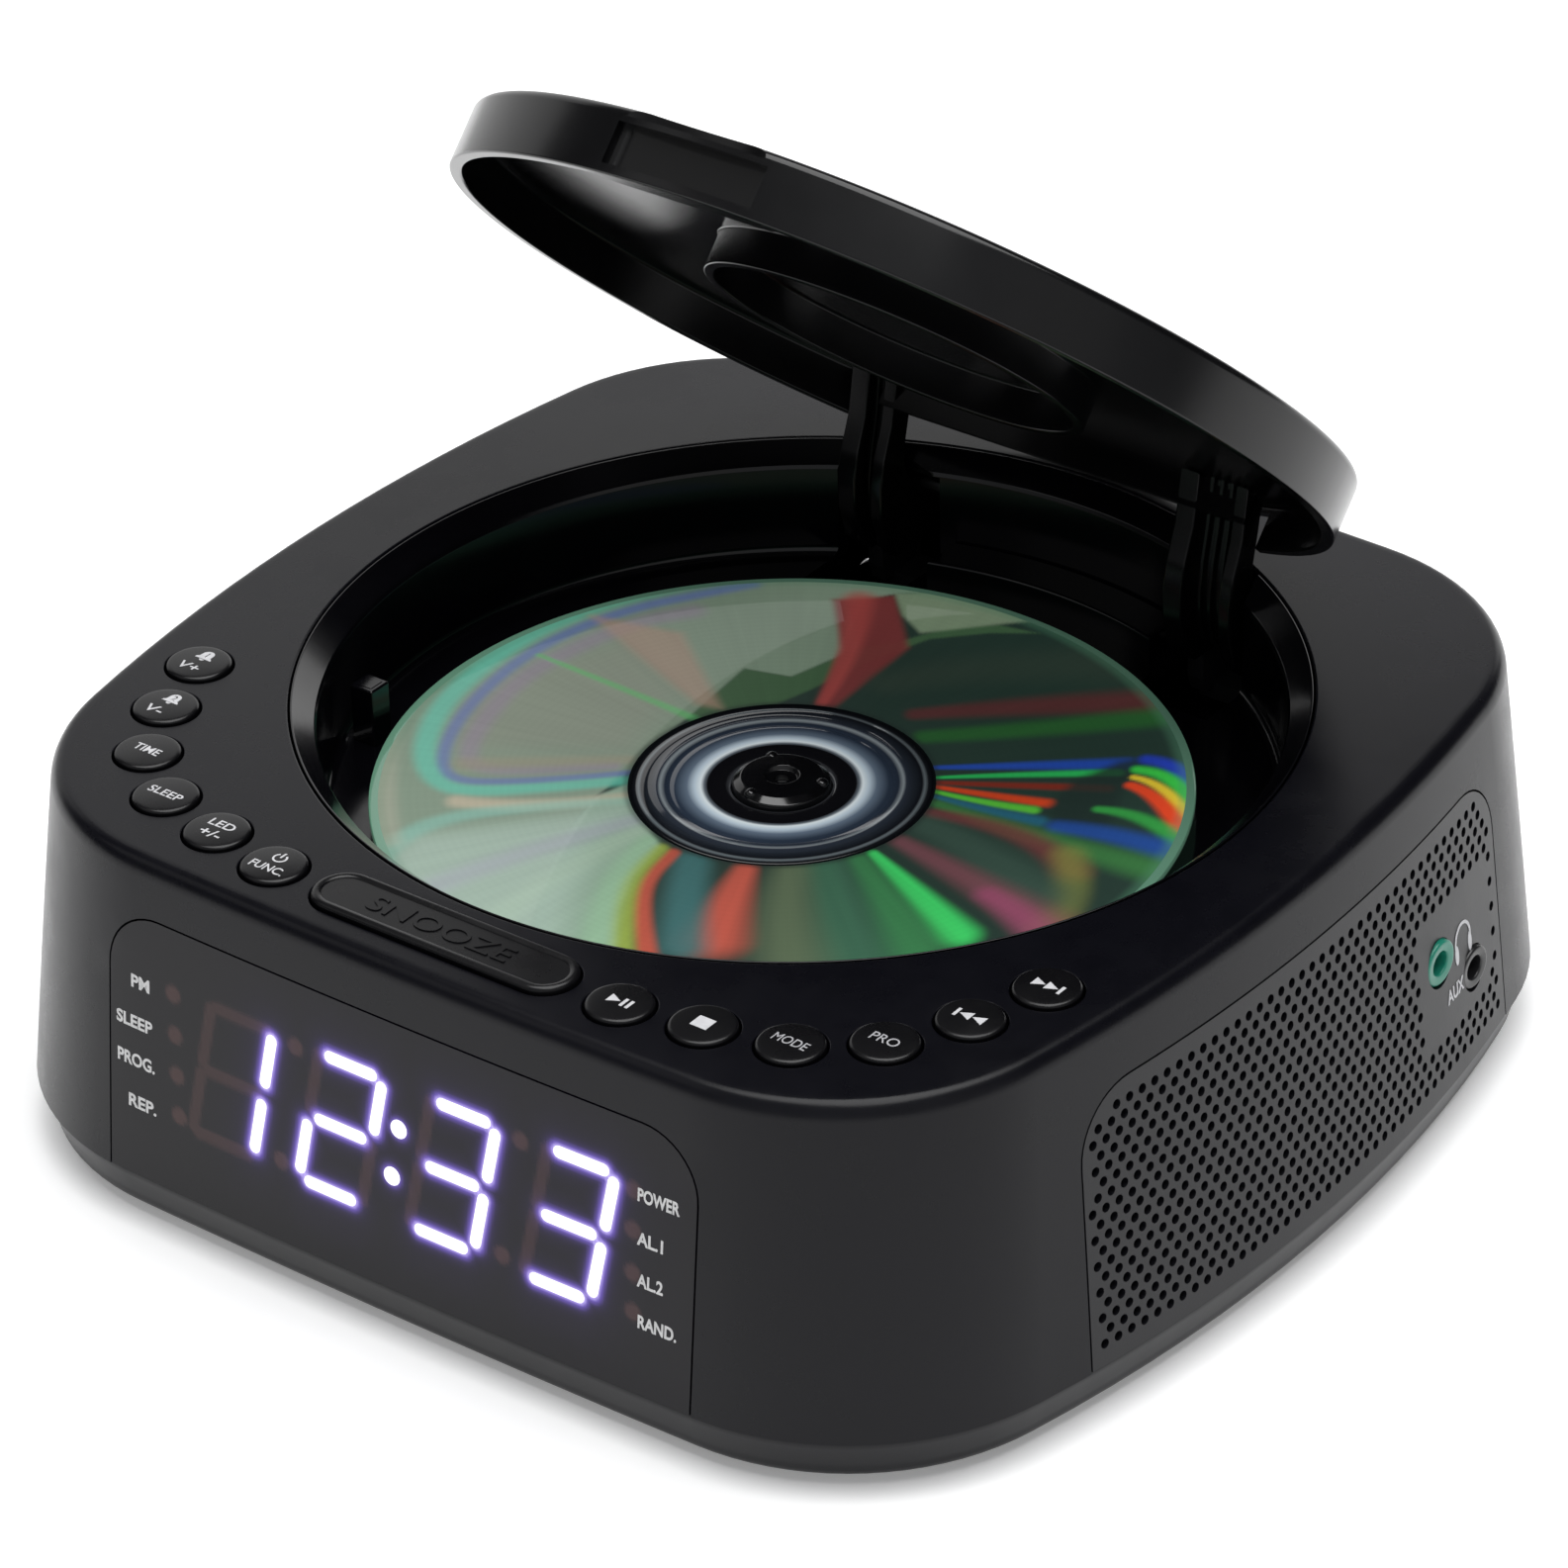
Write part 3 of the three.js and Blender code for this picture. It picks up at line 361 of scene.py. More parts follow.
def plan_at(z):
    k = (Z_TOP - z) / (Z_TOP - Z_PART)
    return {q: PLAN_TOP[q] + (PLAN_PART[q] - PLAN_TOP[q]) * k for q in PLAN_TOP}


def meet(c0, r0, c1, r1, sy):
    dx, dy = c1[0] - c0[0], c1[1] - c0[1]
    d = math.hypot(dx, dy)
    a = (r0 * r0 - r1 * r1 + d * d) / (2 * d)
    h = math.sqrt(max(0.0, r0 * r0 - a * a))
    mx, my = c0[0] + dx * a / d, c0[1] + dy * a / d
    p = (mx - dy * h / d, my + dx * h / d)
    q = (mx + dy * h / d, my - dx * h / d)
    return p if (p[0] > 0 and p[1] * sy > 0) else q


def geo_of(P, inset=0.0):
    a, yf, yb = P["a"] - inset, P["yf"] + inset, P["yb"] - inset
    rs, rf, rc = P["rs"] - inset, P["rf"] - inset, P["rc"] - inset
    cs, cf, cb = (a - rs, SIDE_MID), (0.0, yf + rf), (0.0, yb - rf)
    Cf, Cb = meet(cs, rs - rc, cf, rf - rc, -1), meet(cs, rs - rc, cb, rf - rc, 1)
    ang = lambda c, p: math.atan2(p[1] - c[1], p[0] - c[0])
    return dict(cs=cs, cf=cf, cb=cb, Cf=Cf, Cb=Cb, rs=rs, rf=rf, rc=rc,
                t1=ang(cf, Cf), t2=ang(cs, Cf), t3=ang(cs, Cb), t4=ang(cb, Cb))


def geo_z(z, inset=0.0):
    key = (round(z, 4), round(inset, 4))
    if key not in _plan_cache:
        _plan_cache[key] = geo_of(plan_at(z), inset)
    return _plan_cache[key]


S1, S2, S3, S4, S5 = 56.0, 106.0, 216.0, 266.0, 322.0


def at(g, s):
    """Point of an outline at the arc coordinate s, -S5..S5; 0 is the middle of the front."""
    sg, a = (1.0 if s >= 0 else -1.0), abs(s)
    if a <= S1:
        t0, t1, c, r, k = -math.pi / 2, g["t1"], g["cf"], g["rf"], a / S1
    elif a <= S2:
        t0, t1, c, r, k = g["t1"], g["t2"], g["Cf"], g["rc"], (a - S1) / (S2 - S1)
    elif a <= S3:
        t0, t1, c, r, k = g["t2"], g["t3"], g["cs"], g["rs"], (a - S2) / (S3 - S2)
    elif a <= S4:
        t0, t1, c, r, k = g["t3"], g["t4"], g["Cb"], g["rc"], (a - S3) / (S4 - S3)
    else:
        t0, t1, c, r, k = g["t4"], math.pi / 2, g["cb"], g["rf"], (a - S4) / (S5 - S4)
    t = t0 + (t1 - t0) * k
    x = c[0] + r * math.cos(t)
    if a == 0 or a >= S5:
        x = 0.0
    return (sg * x, c[1] + r * math.sin(t))


def s_of_x(x, z):
    g, a = geo_z(z), abs(x)
    t = math.asin(a / g["rf"])
    k = t / (g["t1"] + math.pi / 2)
    if k > 1:
        t = -math.acos(max(-1, min(1, (a - g["Cf"][0]) / g["rc"])))
        s = S1 + (t - g["t1"]) / (g["t2"] - g["t1"]) * (S2 - S1)
    else:
        s = S1 * k
    return math.copysign(s, x)


def s_of_y(y, z, side=1):
    g = geo_z(z)
    t = math.asin((y - SIDE_MID) / g["rs"])
    return side * (S2 + (t - g["t2"]) / (g["t3"] - g["t2"]) * (S3 - S2))


def x_side(y, z, inset=0.0):
    g = geo_z(z, inset)
    return g["cs"][0] + math.sqrt(g["rs"] ** 2 - (y - SIDE_MID) ** 2)


def y_front(x, z, inset=0.0):
    g = geo_z(z, inset)
    a = abs(x)
    t = math.asin(a / g["rf"])
    if t > g["t1"] + math.pi / 2:
        return g["Cf"][1] - math.sqrt(max(0, g["rc"] ** 2 - (a - g["Cf"][0]) ** 2))
    return g["cf"][1] - math.sqrt(g["rf"] ** 2 - a * a)


SVALS = sorted(set(
    [S1 * i / 10 for i in range(11)] + [S1 + (S2 - S1) * i / 18 for i in range(19)]
    + [S2 + (S3 - S2) * i / 16 for i in range(17)] + [S3 + (S4 - S3) * i / 18 for i in range(19)]
    + [S4 + (S5 - S4) * i / 8 for i in range(9)]))
SRING = [-s for s in reversed(SVALS[1:])] + SVALS  # starts and ends at the same place at the back


def ring_at(z, inset=0.0, plan=None):
    g = geo_of(plan, inset) if plan else geo_z(z, inset)
    return [(*at(g, s), z) for s in SRING[:-1]]


def panel_shape(u0, u1, z0, z1, r, n=12, lean=0.0, zr=GR_TOP):
    p = [(u0, z0), (u1, z0)]
    p += [(u1 - r + r * math.cos(t), z1 - r + r * math.sin(t)) for t in np.linspace(0, math.pi / 2, n)]
    p += [(u0 + r + r * math.cos(t), z1 - r + r * math.sin(t)) for t in np.linspace(math.pi / 2, math.pi, n)]
    if lean:
        p = [(a - lean * (zr - b) / (zr - Z_PART), b) if a < 0 else (a, b) for a, b in p]
    return p


def densify(poly, step, closed=True):
    out = []
    n = len(poly)
    for i in range(n if closed else n - 1):
        a, b = np.array(poly[i], float), np.array(poly[(i + 1) % n], float)
        k = max(1, int(math.ceil(np.linalg.norm(b - a) / step)))
        out += [tuple(a + (b - a) * j / k) for j in range(k)]
    return out


def inside_poly(pts, poly):
    pts, poly = np.asarray(pts, float), np.asarray(poly, float)
    x, y = pts[:, 0], pts[:, 1]
    res = np.zeros(len(pts), bool)
    n = len(poly)
    j = n - 1
    for i in range(n):
        xi, yi, xj, yj = *poly[i], *poly[j]
        c = ((yi > y) != (yj > y)) & (x < (xj - xi) * (y - yi) / (yj - yi + 1e-30) + xi)
        res ^= c
        j = i
    return res


def cdt(points, loops, outer=None, holes=()):
    """Triangles over all points with the loops as kept edges; triangles outside outer or inside a hole are dropped."""
    verts = [Vector(p) for p in points]
    edges = []
    for lp in loops:
        i0 = len(verts)
        verts += [Vector(p) for p in lp]
        edges += [(i0 + i, i0 + (i + 1) % len(lp)) for i in range(len(lp))]
    v, e, f, *_ = delaunay_2d_cdt(verts, edges, [], 0, 1e-5)
    v = np.array([tuple(p) for p in v])
    f = np.array([tuple(x) for x in f if len(x) == 3])
    c = v[f].mean(axis=1)
    keep = np.ones(len(f), bool)
    if outer is not None:
        keep &= inside_poly(c, outer)
    for h in holes:
        h = np.asarray(h)
        lo, hi = h.min(0), h.max(0)
        m = keep & (c[:, 0] > lo[0]) & (c[:, 0] < hi[0]) & (c[:, 1] > lo[1]) & (c[:, 1] < hi[1])
        idx = np.nonzero(m)[0]
        if len(idx):
            keep[idx[inside_poly(c[idx], h)]] = False
    f = f[keep]
    p = v[f]
    area = np.cross(p[:, 1] - p[:, 0], p[:, 2] - p[:, 0])
    f = f[np.abs(area) > 1e-9]
    used = np.unique(f)
    remap = -np.ones(len(v), int)
    remap[used] = np.arange(len(used))
    return v[used], remap[f]


def boundary_edges(f):
    from_ = np.concatenate([f[:, [0, 1]], f[:, [1, 2]], f[:, [2, 0]]])
    key = np.sort(from_, axis=1)
    u, inv, cnt = np.unique(key, axis=0, return_inverse=True, return_counts=True)
    return from_[cnt[inv] == 1]


def slab(bag, uv, tri, F, depth, m=0, m_in=None, skip=None, edge_m=None, lip=0.12):
    """A closed sheet: outer face at depth 0, inner face at depth, plain side walls at every free edge; lip is not used.
    """
    top = bag.pts([F(p[0], p[1], 0.0) for p in uv])
    low = bag.pts([F(p[0], p[1], depth) for p in uv])
    for a, b, c in tri:
        bag.face((top[a], top[b], top[c]), m)
        bag.face((low[a], low[c], low[b]), m if m_in is None else m_in)
    for a, b in boundary_edges(tri):
        if skip is not None and skip(uv[a]) and skip(uv[b]):
            continue
        bag.face((top[b], top[a], low[a], low[b]), m if edge_m is None else edge_m)
    return top, low


# ------------------------------------------------------------------ upper case
HB = 0.15
win_hole = densify(panel_shape(WIN_X0 - HB, WIN_X1 + HB, Z_PART, WIN_TOP + HB, WIN_R + HB), 4.0)
win_s = [(s_of_x(x, z), z) for x, z in win_hole]
gr_hole = densify(panel_shape(GR_Y0 - HB, GR_Y1 + HB, Z_PART, GR_TOP + HB, GR_R + HB, lean=GR_LEAN), 4.0)
gr_s = {sd: [(s_of_y(y, z, sd), z) for y, z in gr_hole] for sd in (1, -1)}
Z_WALL = 57.3
zs = [Z_PART, 14.0, 20.0, 26.0, 32.0, 38.0, 44.0, 50.0, 54.0, Z_WALL]
INLET = (-46.0, 22.0)
s_in = S5 - 0.0
g_in = geo_z(INLET[1])


def s_back(x, z):
    g, a = geo_z(z), abs(x)
    t = math.acos(a / g["rf"])
    s = S4 + (t - g["t4"]) / (math.pi / 2 - g["t4"]) * (S5 - S4)
    return math.copysign(s, x)


inlet_poly = [(s_back(x, z), z) for x, z in circle(INLET[0], INLET[1], 5.0, 28)]
slots_back = []
for i in range(7):
    x0 = 10.0 + i * 6.2
    slots_back.append([(s_back(x, z), z) for x, z in densify(
        [(x0, 16.0), (x0 + 2.2, 16.0), (x0 + 2.2, 36.0), (x0, 36.0)], 5.0)])
outer_poly = [(-S5, Z_PART), (S5, Z_PART), (S5, Z_WALL), (-S5, Z_WALL)]
bound = ([(s, Z_PART) for s in SRING] + [(S5, z) for z in zs[1:-1]] + [(s, Z_WALL) for s in reversed(SRING)]
         + [(-S5, z) for z in reversed(zs[1:-1])])
holes_s = [win_s, gr_s[1], gr_s[-1], inlet_poly] + slots_back
grid = np.array([(s, z) for z in zs[1:-1] for s in SRING[1:-1]])
bad = np.zeros(len(grid), bool)
for h in holes_s:
    hp = np.asarray(h)
    c0 = hp.mean(0)
    bad |= inside_poly(grid, c0 + (hp - c0) * 1.012)
uv, tri = cdt([tuple(p) for p in grid[~bad]], [bound] + holes_s, holes=holes_s)


def F_wall(s, z, d):
    return (*at(geo_z(z, d), s), z)


bag = Bag()
slab(bag, uv, tri, F_wall, WALL, skip=lambda p: p[1] > Z_WALL - 1e-3 or abs(abs(p[0]) - S5) < 1e-3)
# rounded top edge, outside and inside
ph = np.linspace(0, math.pi / 2, 8)
outer_rings = [ring_at(Z_WALL + 2.7 * math.sin(p), EDGE_IN * (1 - math.cos(p))) for p in ph]
outer_rings[-1] = [(x, y, Z_TOP) for x, y, z in outer_rings[-1]]
ids = bag.rings(outer_rings)
in_rings = [ring_at(Z_WALL, WALL), [(x, y, Z_TOP - 2.0) for x, y, z in ring_at(58.0, WALL + 1.0)]]
bag.rings(in_rings)
# top face
N_KEY, N_WELL = 40, 256
top_out = [(x, y) for x, y, z in outer_rings[-1]]
flat_in = [(x, y) for x, y, z in ring_at(Z_TOP, EDGE_IN + 0.8)]
keys_xy = [(sg * x, y) for sg in (1, -1) for x, y in BTN]


def stadium(r, half, n=20, cy=SN_Y):
    p = [(half + r * math.cos(t), cy + r * math.sin(t)) for t in np.linspace(-math.pi / 2, math.pi / 2, n)]
    p += [(-half + r * math.cos(t), cy + r * math.sin(t)) for t in np.linspace(math.pi / 2, 3 * math.pi / 2, n)]
    return p


R_HOLE, R_SN, R_WELLHOLE = 5.15, SN_R + 0.3, WELL_RIM_R + 0.3
B = 0.22
loops = [[tuple(p) for p in circle(x, y, R_HOLE + B, N_KEY)] for x, y in keys_xy]
loops.append(stadium(R_SN + B, SN_HALF))
well_loop = [tuple(p) for p in circle(0, WELL_Y, R_WELLHOLE + 0.35, N_WELL)]
loops.append(well_loop)
uvt, trit = cdt([], [top_out, flat_in] + loops, outer=top_out, holes=loops)
t_ids = bag.pts([(x, y, Z_TOP) for x, y in uvt])
for a, b, c in trit:
    bag.face((t_ids[a], t_ids[b], t_ids[c]))
# underside of the top, with plain holes
in_out = [(x, y) for x, y, z in in_rings[-1]]
loops_in = [[tuple(p) for p in circle(x, y, R_HOLE, N_KEY)] for x, y in keys_xy] + [stadium(R_SN, SN_HALF),
            [tuple(p) for p in circle(0, WELL_Y, R_WELLHOLE, N_WELL)]]
uvi, trii = cdt([], [in_out] + loops_in, outer=in_out, holes=loops_in)
t_ids = bag.pts([(x, y, Z_TOP - 2.0) for x, y in uvi])
for a, b, c in trii:
    bag.face((t_ids[a], t_ids[c], t_ids[b]))


def hole_rings(make, b, deep):
    rr = []
    for q in np.linspace(0, math.pi / 2, 6):
        off = b * (1 - math.sin(q))
        rr.append([(x, y, Z_TOP - b * (1 - math.cos(q))) for x, y in make(off)])
    rr.append([(x, y, Z_TOP - deep) for x, y in make(0.0)])
    return rr


for x, y in keys_xy:
    bag.rings(hole_rings(lambda o, x=x, y=y: circle(x, y, R_HOLE + o, N_KEY), B, 2.0))
bag.rings(hole_rings(lambda o: stadium(R_SN + o, SN_HALF), B, 2.0))
bag.rings(hole_rings(lambda o: circle(0, WELL_Y, R_WELLHOLE + o, N_WELL), 0.35, 2.0))
add_object("case_shell", bag.mesh("case_shell"), [M["case"]], "case", ["upper_case"], sharp=40)

# ------------------------------------------------------------------ front window
EMS = {}
lens_poly = densify(panel_shape(WIN_X0 + HB, WIN_X1 - HB, Z_PART + 0.2, WIN_TOP - HB, WIN_R - HB), 3.0)
SL = 0.1675  # slant of the digits, sideways per unit of height
DIG_X = [-29.6, -9.8, 10.05, 30.1]  # middle of each digit at the height of its waist
DIG_MID, DIG_H, DIG_W, SEG_T = 31.35, 10.55, 11.4, 1.9
SEGS = {
    "a": ((-0.5, 1), (0.5, 1)), "b": ((0.5, 1), (0.5, 0)), "c": ((0.5, 0), (0.5, -1)), "d": ((-0.5, -1), (0.5, -1)),
    "e": ((-0.5, 0), (-0.5, -1)), "f": ((-0.5, 1), (-0.5, 0)), "g": ((-0.5, 0), (0.5, 0))}
LIT = {0: "bc", 1: "abged", 2: "abgcd", 3: "abgcd"}


def seg_ends(i, k):
    """Tip to tip ends of one bar of a digit."""
    (x0, z0), (x1, z1) = SEGS[k]
    if k in "adg":
        zz = DIG_MID + z0 * DIG_H
        e = [((x0 * DIG_W + 1.0), zz), ((x1 * DIG_W - 1.0), zz)]
    elif k in "bf":
        e = [(x0 * DIG_W, DIG_MID + DIG_H - 0.45), (x0 * DIG_W, DIG_MID + 1.25)]
    else:
        e = [(x0 * DIG_W, DIG_MID - 0.75), (x0 * DIG_W, DIG_MID - DIG_H + 0.8)]
    return tuple(np.array([DIG_X[i] + x + (z - DIG_MID) * SL, z]) for x, z in e)


lit_segs, off_segs = [], []
for i in range(4):
    for k in "abcdefg":
        (lit_segs if k in LIT[i] else off_segs).append(seg_ends(i, k))
colon = [(0.6, 35.2), (-0.5, 27.4)]
off_dots = [(-40.7, 41.1), (-40.35, 34.7), (-40.0, 28.4), (-39.6, 22.0), (-18.0, 41.2), (-20.5, 22.2), (21.6, 41.2),
            (18.9, 22.3), (40.6, 40.6), (40.7, 34.5), (40.9, 27.9), (41.1, 21.9)]


def seg_dist(p, a, b):
    ab = b - a
    t = np.clip(((p - a) @ ab) / (ab @ ab), 0, 1)
    return np.linalg.norm(p - (a + t[:, None] * ab), axis=1)


fine = np.array([(x, z) for x in np.arange(-44.0, 45.1, 0.55) for z in np.arange(16.6, 47.0, 0.55)])
coarse = np.array([(x, z) for x in np.arange(-50.0, 50.1, 4.0) for z in np.arange(12.0, 51.0, 4.0)])
coarse = coarse[~((np.abs(coarse[:, 0] - 0.5) < 46) & (coarse[:, 1] > 15.5) & (coarse[:, 1] < 48))]
lp = np.asarray(lens_poly)
coarse = coarse[inside_poly(coarse, lp.mean(0) + (lp - lp.mean(0)) * 0.985)]
fine = fine[inside_poly(fine, lp.mean(0) + (lp - lp.mean(0)) * 0.985)]
uvl, tril = cdt([tuple(p) for p in np.vstack([fine, coarse])], [lens_poly], outer=lens_poly)


def F_front(x, z, d):
    return (x, y_front(x, z) + d, z)


bag = Bag()
slab(bag, uvl, tril, F_front, 2.0)
me = bag.mesh("window")
co = np.zeros(len(me.vertices) * 3)
me.vertices.foreach_get("co", co)
co = co.reshape(-1, 3) * 1000.0
p2 = co[:, [0, 2]]
front_only = np.array([abs(c[1] - y_front(c[0], min(max(c[2], Z_PART), Z_TOP))) < 0.05 for c in co])
dl = np.min([seg_dist(p2, a + (b - a) * 0.09, b - (b - a) * 0.09) for a, b in lit_segs] + [np.linalg.norm(p2 - np.array(c), axis=1) for c in colon], axis=0)
glow = 0.62 * np.exp(-(np.maximum(dl - 0.75, 0) / 0.75) ** 1.3) + 0.045 * np.exp(-np.maximum(dl - 0.7, 0) / 2.6)
glow = np.where(front_only, glow, 0.0)
do = np.min([seg_dist(p2, a, b) for a, b in off_segs], axis=0)
dd = np.min([np.linalg.norm(p2 - np.array(c), axis=1) for c in off_dots], axis=0)
ghost = np.clip((1.25 - do) * 2.0, 0, 1) * 0.7 + np.clip((1.6 - dd) * 2.0, 0, 1)
ghost = np.where(front_only, np.clip(ghost, 0, 1), 0.0)
for nm, val in (("glow", glow), ("ghost", ghost)):
    at_ = me.attributes.new(nm, "FLOAT", "POINT")
    at_.data.foreach_set("value", val.astype(np.float32))


def window_material():
    mat = M["lens"].copy()
    mat.name = "window_lit"
    t = mat.node_tree
    b = next(n for n in t.nodes if n.type == "BSDF_PRINCIPLED")
    ga = t.nodes.new("ShaderNodeAttribute")
    ga.attribute_name = "glow"
    gh = t.nodes.new("ShaderNodeAttribute")
    gh.attribute_name = "ghost"
    # unlit segments and dots: a faint brown showing through the window
    base = b.inputs["Base Color"].links[0].from_socket
    mx = t.nodes.new("ShaderNodeMix")
    mx.data_type = "RGBA"
    link(t, gh.outputs["Fac"], mx.inputs["Factor"])
    link(t, base, mx.inputs[6])
    mx.inputs[7].default_value = (0.052, 0.026, 0.025, 1)
    link(t, mx.outputs[2], b.inputs["Base Color"])
    col = ramp(t, ga.outputs["Fac"], [(0.0, (0, 0, 0)), (0.08, (0.02, 0.012, 0.06)), (0.3, (0.13, 0.08, 0.42)), (0.62, (0.55, 0.45, 1.0))])
    link(t, col, b.inputs["Emission Color"])
    b.inputs["Emission Strength"].default_value = 1.0
    return mat


M["window"] = window_material()
add_object("window", me, [M["window"]], "case", ["display_lens"], sharp=40)


def emission(name, col, strength):
    mat = bpy.data.materials.new(name)
    t = nt(mat)
    out = t.nodes.new("ShaderNodeOutputMaterial")
    b = t.nodes.new("ShaderNodeBsdfPrincipled")
    link(t, b.outputs[0], out.inputs[0])
    b.inputs["Base Color"].default_value = (0.3, 0.3, 0.35, 1)
    b.inputs["Roughness"].default_value = 0.4
    n = noise(t, coords(t), 500.0, 2.0)
    link(t, ramp(t, n, [(0.2, tuple(c * 0.93 for c in col)), (0.8, col)]), b.inputs["Emission Color"])
    b.inputs["Emission Strength"].default_value = strength
    return mat


M["lit"] = emission("lit_segment", (0.93, 0.90, 1.0), 1.25)


def capsule_poly(a, b, r, n=7):
    """Bar with rounded tips exactly from a to b."""
    d = (b - a) / np.linalg.norm(b - a)
    nrm = np.array([-d[1], d[0]])
    p = []
    for c, sgn in ((b - d * r, 1), (a + d * r, -1)):
        for t in np.linspace(-math.pi / 2, math.pi / 2, n):
            p.append(tuple(c + sgn * d * (r * math.cos(t)) + sgn * nrm * (r * math.sin(t))))
    return p


def decal(bag, poly2, F, d0=-0.05, d1=0.05, m=0):
    """A thin closed plate over a flat polygon, laid on a surface."""
    n = len(poly2)
    a = bag.pts([F(x, z, d0) for x, z in poly2])
    b = bag.pts([F(x, z, d1) for x, z in poly2])
    c0 = np.mean(np.asarray(poly2), axis=0)
    ca = bag.pts([F(c0[0], c0[1], d0)])[0]
    cb = bag.pts([F(c0[0], c0[1], d1)])[0]
    for i in range(n):
        j = (i + 1) % n
        bag.face((a[i], a[j], ca), m)
        bag.face((b[j], b[i], cb), m)
        bag.face((a[j], a[i], b[i], b[j]), m)


bag = Bag()
for a, b in lit_segs:
    decal(bag, capsule_poly(a, b, SEG_T / 2), F_front)
for c in colon:
    decal(bag, [tuple(p) for p in circle(c[0], c[1], 1.42, 24)], F_front)
add_object("clock_digits", bag.mesh("clock_digits"), [M["lit"]], "case", wn=False)


# ------------------------------------------------------------------ lettering
def text_mesh(body, size, xs=1.0, offset=0.0, shear=0.0, space=1.0, res=5):
    """Flat outline polygons of a short word: (verts Nx2 centred, faces)."""
    cu = bpy.data.curves.new("t", "FONT")
    cu.body = body
    cu.size = size
    cu.offset = offset
    cu.shear = shear
    cu.space_character = space
    cu.resolution_u = res
    cu.align_x = "CENTER"
    cu.fill_mode = "FRONT"
    ob = bpy.data.objects.new("t", cu)
    scene.collection.objects.link(ob)
    dg = bpy.context.evaluated_depsgraph_get()
    me = bpy.data.meshes.new_from_object(ob.evaluated_get(dg))
    v = np.array([x.co[:2] for x in me.vertices], float).reshape(-1, 2)
    f = [tuple(p.vertices) for p in me.polygons]
    bpy.data.objects.remove(ob)
    bpy.data.curves.remove(cu)
    bpy.data.meshes.remove(me)
    v[:, 0] *= xs
    v -= (v.min(0) + v.max(0)) / 2
    return v, f


def word(body, w, h, offset=0.03, shear=0.0):
    """A word scaled to an exact width and capital height."""
    v, f = text_mesh(body, 10.0, offset=offset, shear=shear)
    c, _ = text_mesh(body[0], 10.0, offset=offset)
    ch = c[:, 1].max() - c[:, 1].min()
    v[:, 1] *= h / ch
    v[:, 0] *= w / (v[:, 0].max() - v[:, 0].min())
    return v, f


def lay(bag, v2, faces, F, d0=-0.04, d1=0.04, m=0):
    """Lays flat polygons on a surface as thin closed plates."""
    fs = []
    for f in faces:
        if len(f) == 3:
            fs.append(f)
        else:
            fs += [(f[0], f[i], f[i + 1]) for i in range(1, len(f) - 1)]
    tri_ = np.array(fs)
    p = v2[tri_]
    ar = np.cross(p[:, 1] - p[:, 0], p[:, 2] - p[:, 0])
    tri_ = tri_[np.abs(ar) > 1e-10]
    slab(bag, v2, tri_, lambda x, y, d: F(x, y, d0 + d), d1 - d0, m=m)


WORDS = [("PM", -46.9, 40.5, 3.5), ("SLEEP", -48.1, 34.0, 6.9), ("PROG.", -47.8, 27.9, 7.1), ("REP.", -46.6, 21.2, 5.3),
         ("POWER", 44.8, 40.3, 6.9), ("AL.1", 43.6, 33.6, 4.3), ("AL.2", 43.8, 27.2, 4.3), ("RAND.", 45.2, 20.8, 6.4)]
bag = Bag()
for w, x, z, ww in WORDS:
    v, f = word(w, ww, 2.05, offset=0.28)
    lay(bag, v + np.array([x, z]), f, F_front)
add_object("window_legends", bag.mesh("window_legends", merge=0), [M["ink_win"]], "case", wn=False, smooth=False)

# ------------------------------------------------------------------ side grilles
PITCH_Y, PITCH_Z, HOLE_R = 2.54, 2.016, 0.74


def poly_dist(pts, poly):
    pts, poly = np.asarray(pts, float), np.asarray(poly, float)
    d = np.full(len(pts), 1e9)
    for i in range(len(poly)):
        a, b = poly[i], poly[(i + 1) % len(poly)]
        d = np.minimum(d, seg_dist(pts, a, b + 1e-9))
    return d


